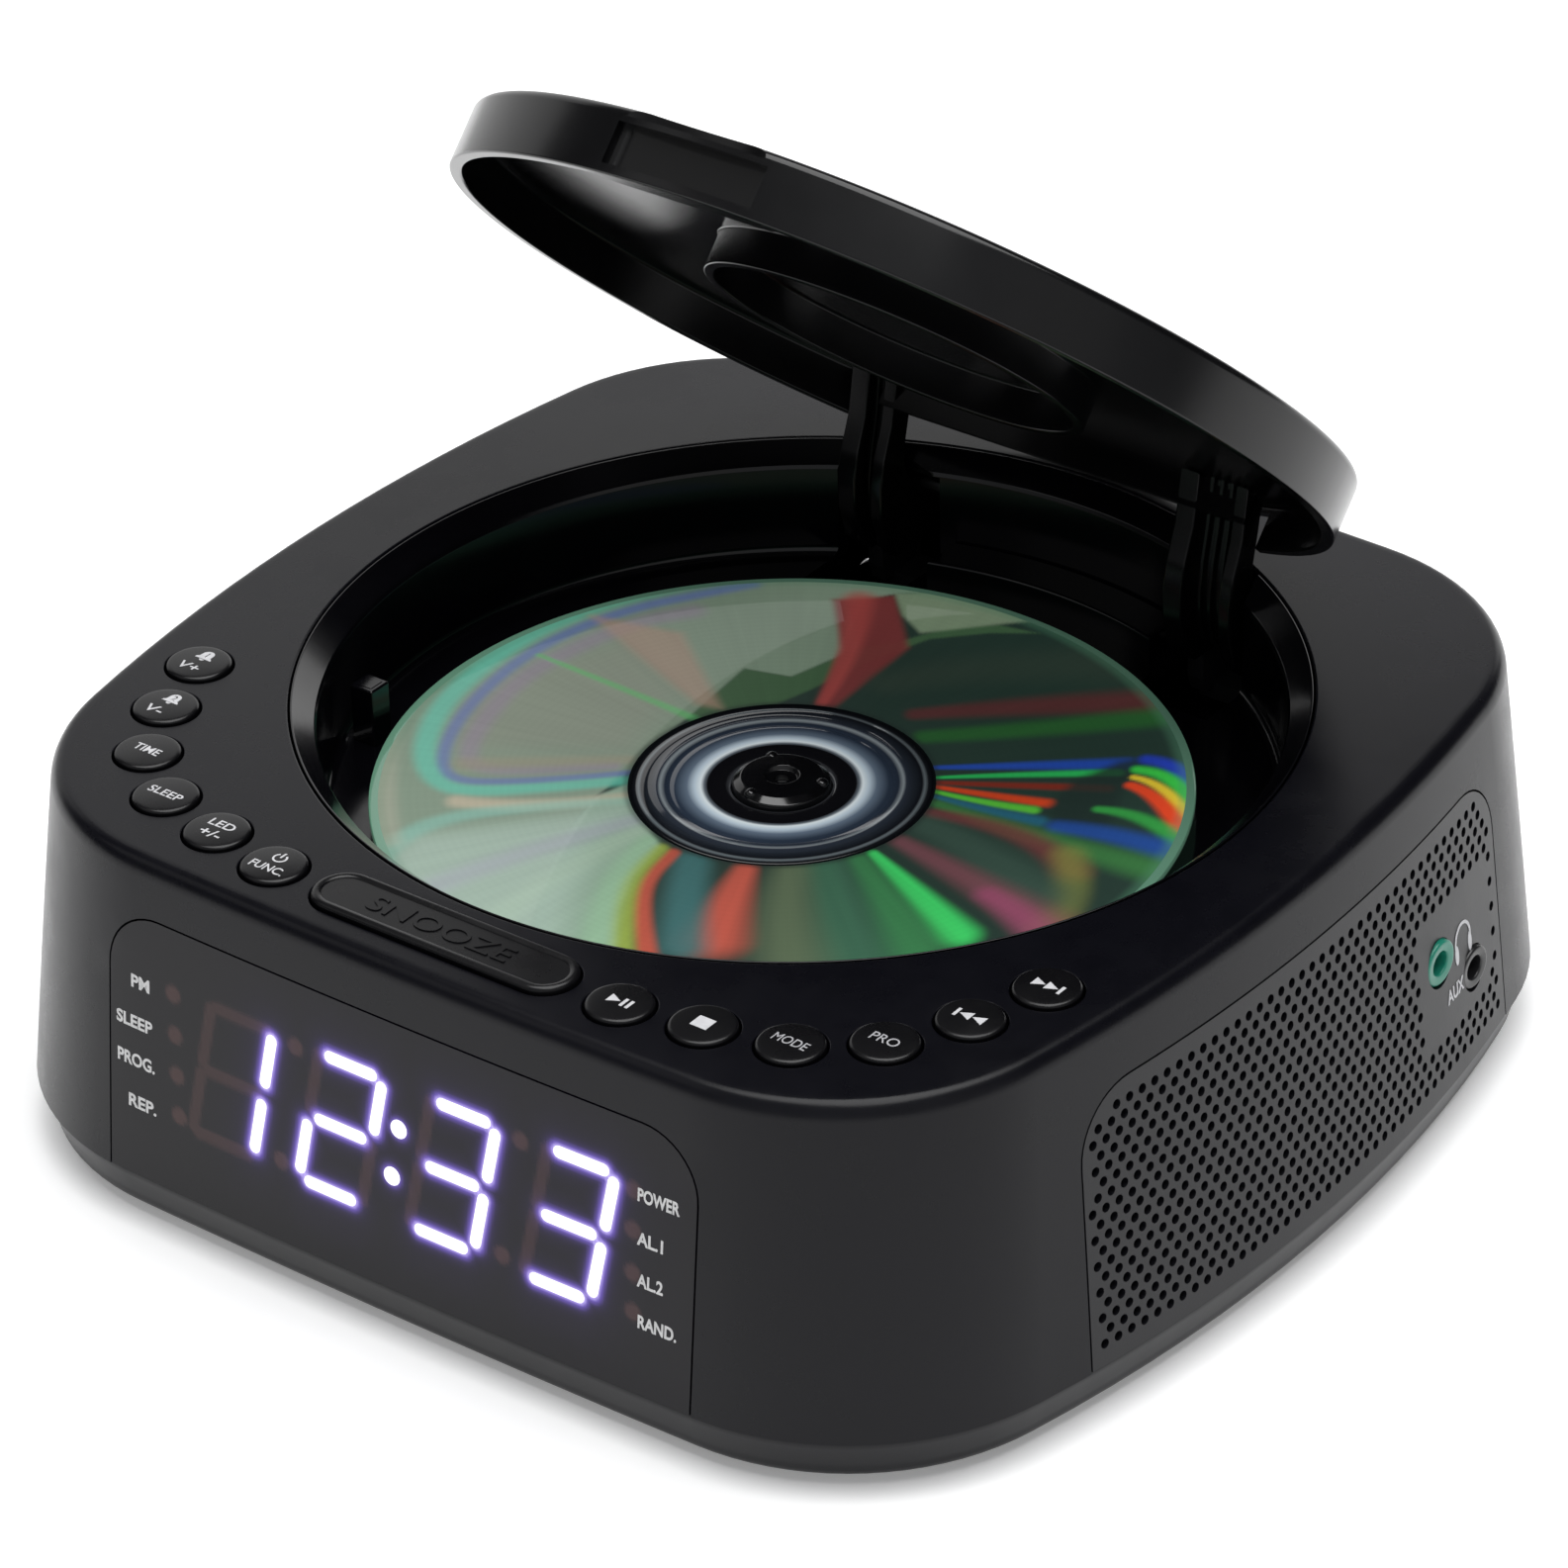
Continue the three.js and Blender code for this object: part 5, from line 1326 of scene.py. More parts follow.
me = solid_join(me, me_pb)
barrel = [(0.01, -41), (18.0, -41), (17.2, -37), (15.4, -33), (13.4, -27), (12.4, -20), (11.8, -10), (11.6, 0), (11.8, 10), (12.4, 20),
          (13.4, 27), (15.4, 33), (17.2, 37), (18.0, 41), (0.01, 41)]
bb = Bag()
bb.rings([[(x, HINGE_Y + r * math.cos(t), HINGE_Z + r * math.sin(t)) for t in np.arange(96) * 2 * math.pi / 96] for r, x in barrel])
dish = Bag()
dish_r = 34.0
dz = LID_TOP_Z + 0.4
dish.rings([[(dish_r * 0.0 + 13.2 * math.cos(t), gy - 0.2 + 2.6 * math.sin(t), z) for t in np.arange(72) * 2 * math.pi / 72] for z in (60.2 + 0.55, dz + 2)])
for z_, up_ in ((60.2 + 0.55, False), (dz + 2, True)):
    ids_ = dish.pts([(13.2 * math.cos(t), gy - 0.2 + 2.6 * math.sin(t), z_) for t in np.arange(72) * 2 * math.pi / 72])
    dish.fan(ids_, (0, gy - 0.2, z_))
cut = [prism(rrect(-12.7, 12.5, gy - 5, gy + 3.4, 1.6, 6), "z", LID_RIM_Z + 1.4, 59.9).mesh("k1"), bb.mesh("k2"), dish.mesh("k4"),
       prism([(55, 50), (80, 50), (80, 58.0), (55, 58.0)], "x", -36.8, 36.8).mesh("k3")]
me = solid_cut(me, cut)
# straight stiffening wall that hides the heads of the arms
me = solid_join(me, prism(rrect(-30.5, 36.0, 56.0, 57.6, 0.3, 3), "z", 54.4, 60.2).mesh("wall"))
me.transform(ROT)
add_object("lid_dish", me, [M["lid"]], "lid", ["lid_shell"], sharp=32)

# hinge arms: flat flanges with a ribbed channel between
arm = [(67.5, 74.6), (66.0, 66.2), (64.0, 61.2), (62.9, 56.5), (62.9, 51.4), (64.5, 45.5), (67.2, 42.8), (72.0, 42.4), (76.0, 44.2)]
arm += [(HINGE_Y + 4.2 * math.cos(t), HINGE_Z + 4.2 * math.sin(t)) for t in np.radians(np.linspace(-100, 90, 12))]
arm += [(74.5, 53.8), (71.2, 54.8), (69.4, 57.2), (69.4, 61.4), (70.4, 65.4), (71.6, 70.7)]
web = [(69.3, 74.2), (68.2, 66.6), (66.8, 60.8), (66.2, 56.2), (66.2, 51.8), (67.2, 47.4), (69.0, 45.4), (72.0, 45.0), (75.6, 46.2),
       (77.0, 49.0), (74.3, 52.9), (70.9, 54.0), (68.6, 56.8), (68.6, 61.6), (69.7, 65.8), (70.7, 70.7)]


def side_plate(bag, poly, x0, x1, b=0.35, m=0):
    """Plate in the y, z plane between x0 and x1 with rounded edges."""
    poly = ccw([tuple(p) for p in poly])
    seq = [(b * (1 - math.sin(q)), b * (1 - math.cos(q))) for q in np.linspace(0, math.pi / 2, 4)]
    # seq: (in from the outer face, inset): starts flush with the edge plane and ends on the face
    left = [[(x0 + dx, y, z) for y, z in inset_poly(poly, ins)] for dx, ins in reversed(seq)]
    rightr = [[(x1 - dx, y, z) for y, z in inset_poly(poly, ins)] for dx, ins in seq]
    allr = left + rightr
    bag.rings(allr, m=m)
    for r in (allr[0], allr[-1]):
        p = [(y, z) for x, y, z in r]
        u, t = cdt([], [p], outer=p)
        q = bag.pts([(r[0][0], a, c) for a, c in u])
        for a, c, d in t:
            bag.face((q[a], q[c], q[d]), m)


for s in (-1, 1):
    x0 = 24.0 if s > 0 else -36.0
    x1 = x0 + (12 if s > 0 else 8.4)
    bag = Bag()
    side_plate(bag, arm, x0, x0 + 3.4)
    side_plate(bag, arm, x1 - 2.2, x1)
    side_plate(bag, web, x0 + 3.2, x1 - 2.0, 0.2)
    for k in range(3 if s > 0 else 2):
        xr = x0 + 4.6 + k * 1.75 if s > 0 else x0 + 3.95 + k * 1.15
        rib = [(68.6, 74.0), (67.4, 66.4), (66.1, 60.9), (65.3, 56.3), (65.3, 51.8), (66.4, 47.4), (68.0, 47.0), (68.6, 56.8), (68.8, 61.6), (69.8, 65.8), (70.6, 73.0)]
        side_plate(bag, rib, xr, xr + (0.7 if s > 0 else 0.55), 0.15)
    nm = "lid_arm_" + ("right" if s > 0 else "left")
    add_object(nm, bag.mesh(nm, merge=0), [M["lid"]], "lid", ["hinge_arm_" + ("right" if s > 0 else "left")], sharp=35)


# ------------------------------------------------------------------ compact disc
def paint(p, base_col):
    return base_col


def bezier(p0, p1, p2, n=24):
    t = np.linspace(0, 1, n)[:, None]
    p0, p1, p2 = map(np.asarray, (p0, p1, p2))
    return (1 - t) ** 2 * p0 + 2 * t * (1 - t) * p1 + t ** 2 * p2


def chaikin(pts, rounds=3):
    p = np.asarray(pts, float)
    for _ in range(rounds):
        a, b = p[:-1], p[1:]
        m_ = np.empty((2 * len(a), 2))
        m_[0::2], m_[1::2] = a * 0.75 + b * 0.25, a * 0.25 + b * 0.75
        p = np.vstack([p[:1], m_, p[-1:]])
    return p


def srgb(*c):
    c = np.array(c, float) / 255.0
    return np.where(c <= 0.04045, c / 12.92, ((c + 0.055) / 1.055) ** 2.4)


NR, NT = 92, 640
rr = np.concatenate([np.linspace(22.4, 58.6, NR)])
tt = np.arange(NT) * 2 * math.pi / NT
RR, TT = np.meshgrid(rr, tt, indexing="ij")
X, Y = (RR * np.cos(TT)).ravel(), (RR * np.sin(TT)).ravel()
P = np.stack([X, Y], 1)
col = np.tile(srgb(36, 54, 47), (len(P), 1))


def smooth(e0, e1, x):
    t = np.clip((x - e0) / (e1 - e0), 0, 1)
    return t * t * (3 - 2 * t)


def lay_col(mask, c, op=1.0):
    global col
    a = (mask * op)[:, None]
    col = col * (1 - a) + srgb(*c) * a


def stroke(pts, c, w0, w1, soft=1.0, op=1.0):
    """A soft coloured streak along a quadratic curve, its half width going from w0 to w1 mm."""
    q = bezier(*pts) if len(pts) == 3 else chaikin(pts)
    best = np.full(len(P), 1e9)
    wid = np.full(len(P), 1.0)
    n = len(q)
    for i in range(n - 1):
        a, b = q[i], q[i + 1]
        ab = b - a
        t = np.clip(((P - a) @ ab) / (ab @ ab + 1e-12), 0, 1)
        d = np.linalg.norm(P - (a + t[:, None] * ab), axis=1)
        w = w0 + (w1 - w0) * (i + t) / (n - 1)
        k = d / w < best / wid
        best = np.where(k, d, best)
        wid = np.where(k, w, wid)
    r = best / wid
    lay_col(1 - smooth(1 - 0.5 * soft, 1 + 0.5 * soft, r), c, op)


def pg(poly, c, blur=1.0, op=1.0):
    """A filled region with a soft edge, mm."""
    ins = inside_poly(P, np.array(poly, float))
    d = poly_dist(P, np.array(poly, float))
    sd = np.where(ins, d, -d)
    lay_col(smooth(-blur, blur, sd), c, op)


# painted reflection: every colour laid on the data side from here on is studio light and the lid mirrored in the disc
# and split into rainbow colours, painted in place
# painted reflection: the pale, evenly lit half, ending at the painted mirror image of the lid's edge
pg([(-114.1, 25.9), (-18.9, 68.6), (-12.6, 59.3), (-18.7, 54.0), (-22.4, 47.1), (-13.6, 37.7), (-16.9, 25.1), (-24.1, 23.0), (-22.5, 8.1), (-22.2, -3.0), (-20.1, -9.3), (-20.1, -18.6), (-17.4, -28.6), (-13.0, -38.4), (-7.9, -47.5), (-2.7, -55.7), (17.2, -83.6), (-18.0, -108.2), (-86.9, -28.9)], (122, 142, 122), 0.35, 1.0)
# second, weaker edge of the same mirror image
pg([(-13.6, 37.7), (-10.0, 42.0), (-6.0, 50.5), (-0.2, 55.2), (6.1, 56.6), (-0.1, 52.4), (-6.4, 45.9), (-9.9, 35.6), (-12.3, 23.8), (-15.2, 13.1), (-16.7, 6.6), (-22.5, 8.1), (-24.1, 23.0), (-16.9, 25.1)], (66, 98, 66), 0.4, 0.85)
pg([(-18.1, -11.9), (-14.4, -16.7), (-3.9, -23.8), (-2.5, -32.1), (1.5, -40.4), (11.9, -54.7), (-2.7, -55.7), (-7.9, -47.5), (-13.0, -38.4), (-17.4, -28.6), (-20.1, -18.6)], (140, 166, 146), 0.5, 0.95)
pg([(-34.6, -41.5), (-13.9, -17.3), (-12.8, -28.0), (0.3, -53.6), (-13.7, -75.6), (-35.8, -60.0)], (158, 180, 166), 3.5, 0.85)
pg([(-56.0, -7.4), (-44.2, 21.9), (-27.5, 12.2), (-23.1, -5.4), (-42.2, -18.6), (-47.6, -18.9)], (132, 138, 122), 5.0, 0.7)
# painted reflection: teal, blue and violet line round the left and back to the hub
stroke([(-46.9, 40.1), (-51.6, 31.3), (-54.3, 25.1), (-57.1, 14.1), (-57.2, 2.3), (-55.4, -8.8), (-51.5, -18.2), (-46.7, -25.0), (-40.5, -28.8), (-35.3, -27.2), (-26.7, -19.6), (-18.4, -11.5)], (92, 186, 162), 2.3, 1.3, 1.4, 0.8)
stroke([(-38.5, 44.0), (-43.7, 36.0), (-48.1, 29.3), (-51.9, 19.5), (-53.7, 7.5), (-52.0, -6.5), (-48.2, -17.6), (-43.7, -24.6), (-39.1, -26.5), (-32.3, -21.8), (-25.8, -16.0), (-19.8, -10.1)], (84, 104, 176), 1.3, 0.7, 1.7, 0.62)
stroke([(-40.8, 32.2), (-45.4, 25.8), (-48.6, 15.3), (-50.1, 2.9), (-47.5, -9.2), (-43.4, -19.4), (-38.9, -22.3), (-31.8, -17.7), (-23.1, -10.1)], (140, 124, 146), 1.9, 1.1, 1.8, 0.6)
stroke([(-41.3, -22.0), (-33.2, -16.0), (-22.5, -7.6)], (146, 138, 116), 1.8, 1.2, 1.8, 0.6)
stroke([(-35.7, -30.8), (-26.1, -27.1), (-15.9, -15.7)], (190, 176, 152), 1.5, 1.3, 1.6, 0.75)
stroke([(-33.8, -52.3), (-36.6, -44.5), (-34.1, -34.3), (-24.5, -24.6), (-14.9, -16.0)], (128, 186, 170), 2.0, 0.9, 1.6, 0.6)
stroke([(-24.3, -52.0), (-21.5, -39.8), (-11.4, -20.5)], (160, 160, 176), 2.2, 1.6, 1.9, 0.5)
stroke([(-11.3, -52.4), (-12.5, -37.5), (-8.9, -21.4)], (166, 190, 168), 2.2, 1.6, 1.9, 0.4)
stroke([(-63.2, -12.5), (-48.9, -33.3), (-37.1, -44.8)], (172, 168, 150), 1.8, 1.8, 1.8, 0.55)
stroke([(-51.9, 8.7), (-33.5, 8.1), (-20.7, 7.2)], (92, 176, 104), 0.45, 0.8, 1.7, 0.75)
pg([(-53.0, 22.4), (-38.1, 26.1), (-19.9, 11.9), (-23.7, 10.7)], (164, 136, 118), 1.3, 0.7)
# painted reflection: red streak from the back to the hub
pg([(-25.4, 47.2), (-18.3, 53.5), (-7.5, 41.9), (-6.4, 21.3), (-8.8, 19.6), (-15.8, 36.1)], (118, 52, 52), 0.9, 0.95)
stroke([(-22.2, 49.4), (-13.0, 36.3), (-8.5, 21.2)], (164, 70, 66), 2.3, 0.8, 1.4, 0.7)
pg([(-18.7, 54.0), (-12.2, 59.2), (2.8, 58.7), (-1.4, 54.3), (-8.6, 46.5), (-13.9, 49.3)], (126, 146, 118), 0.6, 0.9)
# painted reflection: dark green right side and its streaks
stroke([(4.6, 26.8), (17.9, 39.5), (35.3, 52.9)], (92, 44, 46), 1.4, 3.4, 1.6, 0.75)
stroke([(9.5, 22.4), (22.1, 33.5), (37.5, 49.6)], (40, 92, 44), 1.6, 2.6, 1.5, 0.85)
stroke([(-3.8, 32.1), (4.7, 45.7), (21.1, 55.6)], (52, 64, 54), 3.0, 5.0, 1.8, 0.5)
# painted reflection: spectrum wedge and the painted highlight at the rim
stroke([(15.7, 16.2), (26.6, 24.4), (38.2, 33.0)], (34, 70, 160), 0.5, 1.5, 1.4, 0.95)
stroke([(17.3, 13.9), (25.7, 20.7), (38.4, 30.2)], (40, 170, 84), 0.35, 0.95, 1.3, 0.95)
stroke([(18.1, 12.8), (27.4, 18.3), (39.6, 25.7)], (120, 40, 28), 0.5, 1.0, 1.4, 0.9)
stroke([(18.8, 11.9), (26.6, 14.4), (34.9, 17.5)], (196, 64, 30), 0.45, 1.1, 1.3, 0.95)
stroke([(19.5, 10.8), (26.6, 12.0), (34.1, 14.7)], (84, 180, 56), 0.45, 1.0, 1.3, 0.95)
stroke([(20.3, 9.7), (27.6, 10.5), (36.5, 12.7)], (36, 96, 120), 0.5, 1.3, 1.5, 0.85)
pg([(34.4, 24.5), (36.7, 32.7), (40.7, 38.2), (40.9, 29.0), (45.4, 17.3), (40.0, 12.6), (35.4, 16.8)], (32, 46, 42), 1.2, 0.9)
stroke([(39.9, 35.6), (44.6, 37.5), (49.4, 33.2)], (36, 60, 170), 1.2, 1.6, 1.4, 0.9)
stroke([(40.3, 32.5), (45.6, 34.9), (51.8, 29.2)], (54, 180, 66), 1.0, 1.6, 1.3, 0.95)
stroke([(41.0, 30.4), (45.9, 31.8), (53.4, 25.7)], (214, 186, 50), 0.6, 1.2, 1.3, 0.9)
stroke([(41.9, 28.3), (46.5, 28.8), (54.5, 22.6)], (214, 66, 34), 0.9, 1.6, 1.3, 0.95)
stroke([(41.7, 20.2), (48.1, 23.4), (56.0, 19.7)], (52, 150, 66), 0.8, 1.7, 1.4, 0.85)
stroke([(39.7, 13.0), (47.6, 16.5), (57.1, 16.6)], (34, 72, 146), 1.6, 2.4, 1.5, 0.85)
# painted reflection: lower right
stroke([(21.4, 8.2), (40.7, 9.1), (57.8, 11.4)], (58, 118, 62), 1.0, 3.0, 1.7, 0.75)
stroke([(22.4, 5.6), (37.7, 11.0), (47.7, 4.4)], (104, 52, 54), 1.2, 2.6, 1.7, 0.8)
stroke([(45.3, 7.5), (52.3, -0.3), (53.3, -9.1)], (122, 128, 62), 2.4, 2.6, 1.7, 0.6)
stroke([(22.8, 2.6), (35.6, 1.7), (47.7, -3.5)], (54, 76, 66), 2.4, 4.6, 1.6, 0.8)
stroke([(22.4, -2.9), (38.1, -5.5), (54.3, -9.3)], (124, 72, 82), 1.3, 3.6, 1.8, 0.65)
stroke([(42.0, -7.5), (48.0, -8.7), (53.7, -11.6)], (152, 72, 106), 1.9, 2.8, 1.8, 0.6)
stroke([(21.9, -7.8), (34.0, -13.1), (44.1, -18.2)], (60, 196, 98), 0.8, 3.0, 1.25, 0.95)
stroke([(21.2, -10.2), (33.4, -18.2), (41.3, -24.5)], (56, 122, 74), 1.6, 4.4, 1.6, 0.85)
stroke([(18.6, -14.5), (27.9, -23.6), (35.7, -31.5)], (60, 104, 80), 3.0, 5.0, 1.6, 0.8)
stroke([(15.2, -18.2), (21.0, -28.4), (29.3, -37.1)], (96, 112, 84), 2.6, 4.8, 1.8, 0.7)
stroke([(9.6, -21.5), (13.2, -30.7), (17.1, -38.8)], (186, 84, 68), 1.6, 4.2, 1.5, 0.9)
stroke([(2.1, -24.1), (7.3, -33.2), (14.3, -42.4)], (58, 104, 104), 2.6, 3.4, 1.5, 0.9)
stroke([(-1.5, -24.0), (-0.4, -31.6), (3.6, -38.3), (12.2, -47.8)], (178, 80, 62), 1.0, 1.5, 1.35, 0.95)
stroke([(-3.7, -24.0), (-2.6, -31.9), (1.3, -39.2), (9.0, -49.4)], (146, 166, 70), 1.1, 1.8, 1.5, 0.85)
stroke([(-6.4, -23.5), (-4.5, -33.1), (0.2, -42.8), (5.8, -51.7)], (142, 184, 146), 1.4, 2.4, 1.8, 0.6)
# painted reflection: a greenish haze at the rim and a dark band at the inner edge of the data area
rim_m = smooth(56.6, 58.4, RR.ravel())
lay_col(rim_m, (78, 128, 100), 0.3)
rim_in = 1 - smooth(22.4, 23.6, RR.ravel())
lay_col(rim_in, (30, 40, 38), 0.6)

# painted light and shade: colours raised toward the back, which lies under the lid, and lowered at the near left, which
# is in full light
painted_light_gain = np.interp(P[:, 1], [-55, -10, 15, 50], [0.86, 0.92, 1.15, 1.75]) * np.interp(P[:, 0], [-50, -15, 15], [0.84, 0.9, 1.0])
col = np.clip(col * painted_light_gain[:, None], 0, 0.85)
bag = Bag()
grid_ids = bag.pts(np.stack([X, Y, np.full(len(X), DISC_TOP)], 1))
for i in range(NR - 1):
    for j in range(NT):
        k = (j + 1) % NT
        bag.face((grid_ids[i * NT + j], grid_ids[(i + 1) * NT + j], grid_ids[(i + 1) * NT + k], grid_ids[i * NT + k]), 0)
T0 = DISC_TOP
edge = [(58.6, T0), (59.55, T0), (59.9, T0 - 0.12), (60.0, T0 - 0.4), (60.0, T0 - 0.9), (59.8, T0 - DISC_T), (58.6, T0 - DISC_T), (22.4, T0 - DISC_T)]
bag.rings([circle(0, 0, r, NT, z) for r, z in edge], m=1)
hubp = [(22.4, T0), (21.9, T0), (21.75, T0 - 0.06), (20.9, T0 - 0.06), (20.75, T0), (18.7, T0), (18.5, T0 + 0.12), (18.2, T0 + 0.16), (17.8, T0 + 0.12),
        (17.6, T0), (16.6, T0), (16.45, T0 - 0.07), (16.2, T0 - 0.07), (16.05, T0), (13.6, T0), (11.7, T0), (11.4, T0 - 0.05), (8.6, T0 - 0.05),
        (7.8, T0 - 0.08), (7.5, T0 - 0.3), (7.5, T0 - 0.9), (7.7, T0 - DISC_T), (22.4, T0 - DISC_T)]
hubp2 = []
for (r0, z0), (r1, z1) in zip(hubp, hubp[1:]):
    k = max(1, int(abs(r1 - r0) / 0.8)) if abs(z1 - z0) < 1e-6 and r1 < r0 else 1
    hubp2 += [(r0 + (r1 - r0) * i / k, z0 + (z1 - z0) * i / k) for i in range(k)]
hubp2.append(hubp[-1])
bag.rings([circle(0, 0, r, NT, z) for r, z in hubp2], m=1)
me = bag.mesh("disc", merge=0.001)
n_attr = me.attributes.new("foil_painted_reflection", "FLOAT_COLOR", "POINT")
cov = np.zeros(len(me.vertices) * 3)
me.vertices.foreach_get("co", cov)
cov = cov.reshape(-1, 3) * 1000
from mathutils.kdtree import KDTree
ri = np.clip(np.round((np.hypot(cov[:, 0], cov[:, 1]) - 22.4) / (58.6 - 22.4) * (NR - 1)), 0, NR - 1).astype(int)
ti = np.round((np.arctan2(cov[:, 1], cov[:, 0]) % (2 * math.pi)) / (2 * math.pi) * NT).astype(int) % NT
cc = col.reshape(NR, NT, 3)[ri, ti]
cc4 = np.concatenate([cc, np.ones((len(cc), 1))], 1).astype(np.float32)
n_attr.data.foreach_set("color", cc4.ravel())


def disc_foil():
    """Mirrored data side: painted reflections of the light and the lid, split into interference colours and carried on
    the mesh, a faint painted glow, fine circular tracks, clear lacquer over it.
    """
    mat = bpy.data.materials.new("disc_foil")
    t = nt(mat)
    out = t.nodes.new("ShaderNodeOutputMaterial")
    b = t.nodes.new("ShaderNodeBsdfPrincipled")
    link(t, b.outputs[0], out.inputs[0])
    a = t.nodes.new("ShaderNodeAttribute")
    a.attribute_name = "foil_painted_reflection"
    c = coords(t)
    sep = t.nodes.new("ShaderNodeSeparateXYZ")
    link(t, c, sep.inputs[0])
    r = math_node(t, "SQRT", math_node(t, "ADD", math_node(t, "MULTIPLY", sep.outputs[0], sep.outputs[0]), math_node(t, "MULTIPLY", sep.outputs[1], sep.outputs[1])))
    track = math_node(t, "SINE", math_node(t, "MULTIPLY", r, 5200.0))
    ang = math_node(t, "ARCTAN2", sep.outputs[1], sep.outputs[0])
    comb = t.nodes.new("ShaderNodeCombineXYZ")
    link(t, math_node(t, "MULTIPLY", ang, 9.0), comb.inputs[0])
    link(t, math_node(t, "MULTIPLY", r, 6.0), comb.inputs[1])
    rays = noise(t, comb.outputs[0], 3.0, 3.0, 0.6)
    k = math_node(t, "ADD", 0.9, math_node(t, "ADD", math_node(t, "MULTIPLY", track, 0.012), math_node(t, "MULTIPLY", rays, 0.2)))
    mul = t.nodes.new("ShaderNodeVectorMath")
    mul.operation = "SCALE"
    link(t, a.outputs["Color"], mul.inputs[0])
    link(t, k, mul.inputs["Scale"])
    link(t, mul.outputs[0], b.inputs["Base Color"])
    link(t, mul.outputs[0], b.inputs["Emission Color"])
    # painted light: the disc glows faintly by itself in its painted colours
    b.inputs["Emission Strength"].default_value = 0.30
    b.inputs["Metallic"].default_value = 0.0
    b.inputs["Roughness"].default_value = 0.5
    b.inputs["Specular IOR Level"].default_value = 0.2
    b.inputs["Coat Weight"].default_value = 0.35
    b.inputs["Coat Roughness"].default_value = 0.03
    return mat


def disc_hub():
    """Clear middle of the disc and its moulded rings, with painted highlights on the ring edges, a painted bright ring
    where light gathers and a faint painted glow.
    """
    mat = bpy.data.materials.new("disc_clear_middle")
    t = nt(mat)
    out = t.nodes.new("ShaderNodeOutputMaterial")
    b = t.nodes.new("ShaderNodeBsdfPrincipled")
    link(t, b.outputs[0], out.inputs[0])
    c = coords(t)
    sep = t.nodes.new("ShaderNodeSeparateXYZ")
    link(t, c, sep.inputs[0])
    r = math_node(t, "SQRT", math_node(t, "ADD", math_node(t, "MULTIPLY", sep.outputs[0], sep.outputs[0]), math_node(t, "MULTIPLY", sep.outputs[1], sep.outputs[1])))
    f = math_node(t, "MULTIPLY", math_node(t, "SUBTRACT", r, 0.0075), 1 / 0.016, clamp=True)

    def at_r(mm):
        return (mm - 7.5) / 16.0
    # painted highlights: the pale stops at the edge of the hole, at 11.3 to 13.8 mm, at 17.7 mm and at 20.8 mm are
    # light caught on the clear plastic and its rings
    stops = [(at_r(7.5), srgb(60, 62, 66)), (at_r(8.2), srgb(14, 14, 17)), (at_r(10.8), srgb(12, 12, 15)), (at_r(11.3), srgb(96, 104, 112)),
             (at_r(11.8), srgb(214, 224, 228)), (at_r(12.7), srgb(176, 192, 204)), (at_r(13.8), srgb(92, 106, 122)), (at_r(15.6), srgb(40, 50, 64)),
             (at_r(17.0), srgb(34, 42, 54)), (at_r(17.7), srgb(126, 134, 138)), (at_r(18.1), srgb(40, 46, 56)), (at_r(19.2), srgb(30, 35, 42)),
             (at_r(20.4), srgb(16, 18, 23)), (at_r(20.8), srgb(92, 100, 104)), (at_r(21.3), srgb(20, 22, 26)), (at_r(21.9), srgb(8, 9, 12)), (at_r(23.3), srgb(20, 26, 26))]
    stops = [(p, tuple(float(x) for x in c_)) for p, c_ in stops]
    colr = ramp(t, f, stops)
    big = ramp(t, math_node(t, "MULTIPLY", r, 10.0), [(0.3, (0, 0, 0)), (0.5, (1, 1, 1))])
    mx = t.nodes.new("ShaderNodeMix")
    mx.data_type = "RGBA"
    link(t, big, mx.inputs["Factor"])
    link(t, colr, mx.inputs[6])
    mx.inputs[7].default_value = (0.10, 0.22, 0.15, 1)
    link(t, mx.outputs[2], b.inputs["Base Color"])
    link(t, mx.outputs[2], b.inputs["Emission Color"])
    # painted light: the clear middle glows faintly by itself
    b.inputs["Emission Strength"].default_value = 0.3
    b.inputs["Roughness"].default_value = 0.08
    b.inputs["Specular IOR Level"].default_value = 0.5
    n = noise(t, c, 400.0, 2.0)
    bp = t.nodes.new("ShaderNodeBump")
    bp.inputs["Strength"].default_value = 0.05
    bp.inputs["Distance"].default_value = 0.00001
    link(t, n, bp.inputs["Height"])
    link(t, bp.outputs[0], b.inputs["Normal"])
    return mat


M["foil_painted_reflection"], M["clear"] = disc_foil(), disc_hub()
add_object("disc", me, [M["foil_painted_reflection"], M["clear"]], "platter", ["compact_disc"], sharp=50, wn=False)

# turntable hub: cone, three balls, rim
bag = Bag()
hp = rounded([(1.1, 40.2), (4.2, 40.2), (4.2, 42.4), (13.4, 42.4), (13.4, 44.1), (7.2, 44.1), (7.2, 46.0), (6.0, 46.85), (2.6, 47.1), (2.3, 46.3), (1.1, 46.3), (1.1, 40.2)],
             {4: 0.3, 5: 0.2, 6: 0.5, 7: 0.5, 8: 0.3, 9: 0.2}, 4)
bag.rings(lathe_rings(hp, 72))
add_object("hub_cone", bag.mesh("hub_cone"), [M["hub"]], "platter", ["turntable"], sharp=35)
bag = Bag()
for i in range(3):
    a = math.radians(20 + 120 * i)
    cx, cy, cz, r = 6.1 * math.cos(a), 6.1 * math.sin(a), 46.2, 1.05
    rings = [[(cx + r * math.sin(p) * math.cos(t), cy + r * math.sin(p) * math.sin(t), cz + r * math.cos(p)) for t in np.arange(20) * math.pi / 10] for p in np.linspace(0.02, math.pi - 0.02, 12)]
    ids = bag.rings(rings)
    bag.fan(ids[0], (cx, cy, cz + r))
    bag.fan(ids[-1], (cx, cy, cz - r))
add_object("hub_balls", bag.mesh("hub_balls"), [M["hub"]], "platter", sharp=60, wn=False)

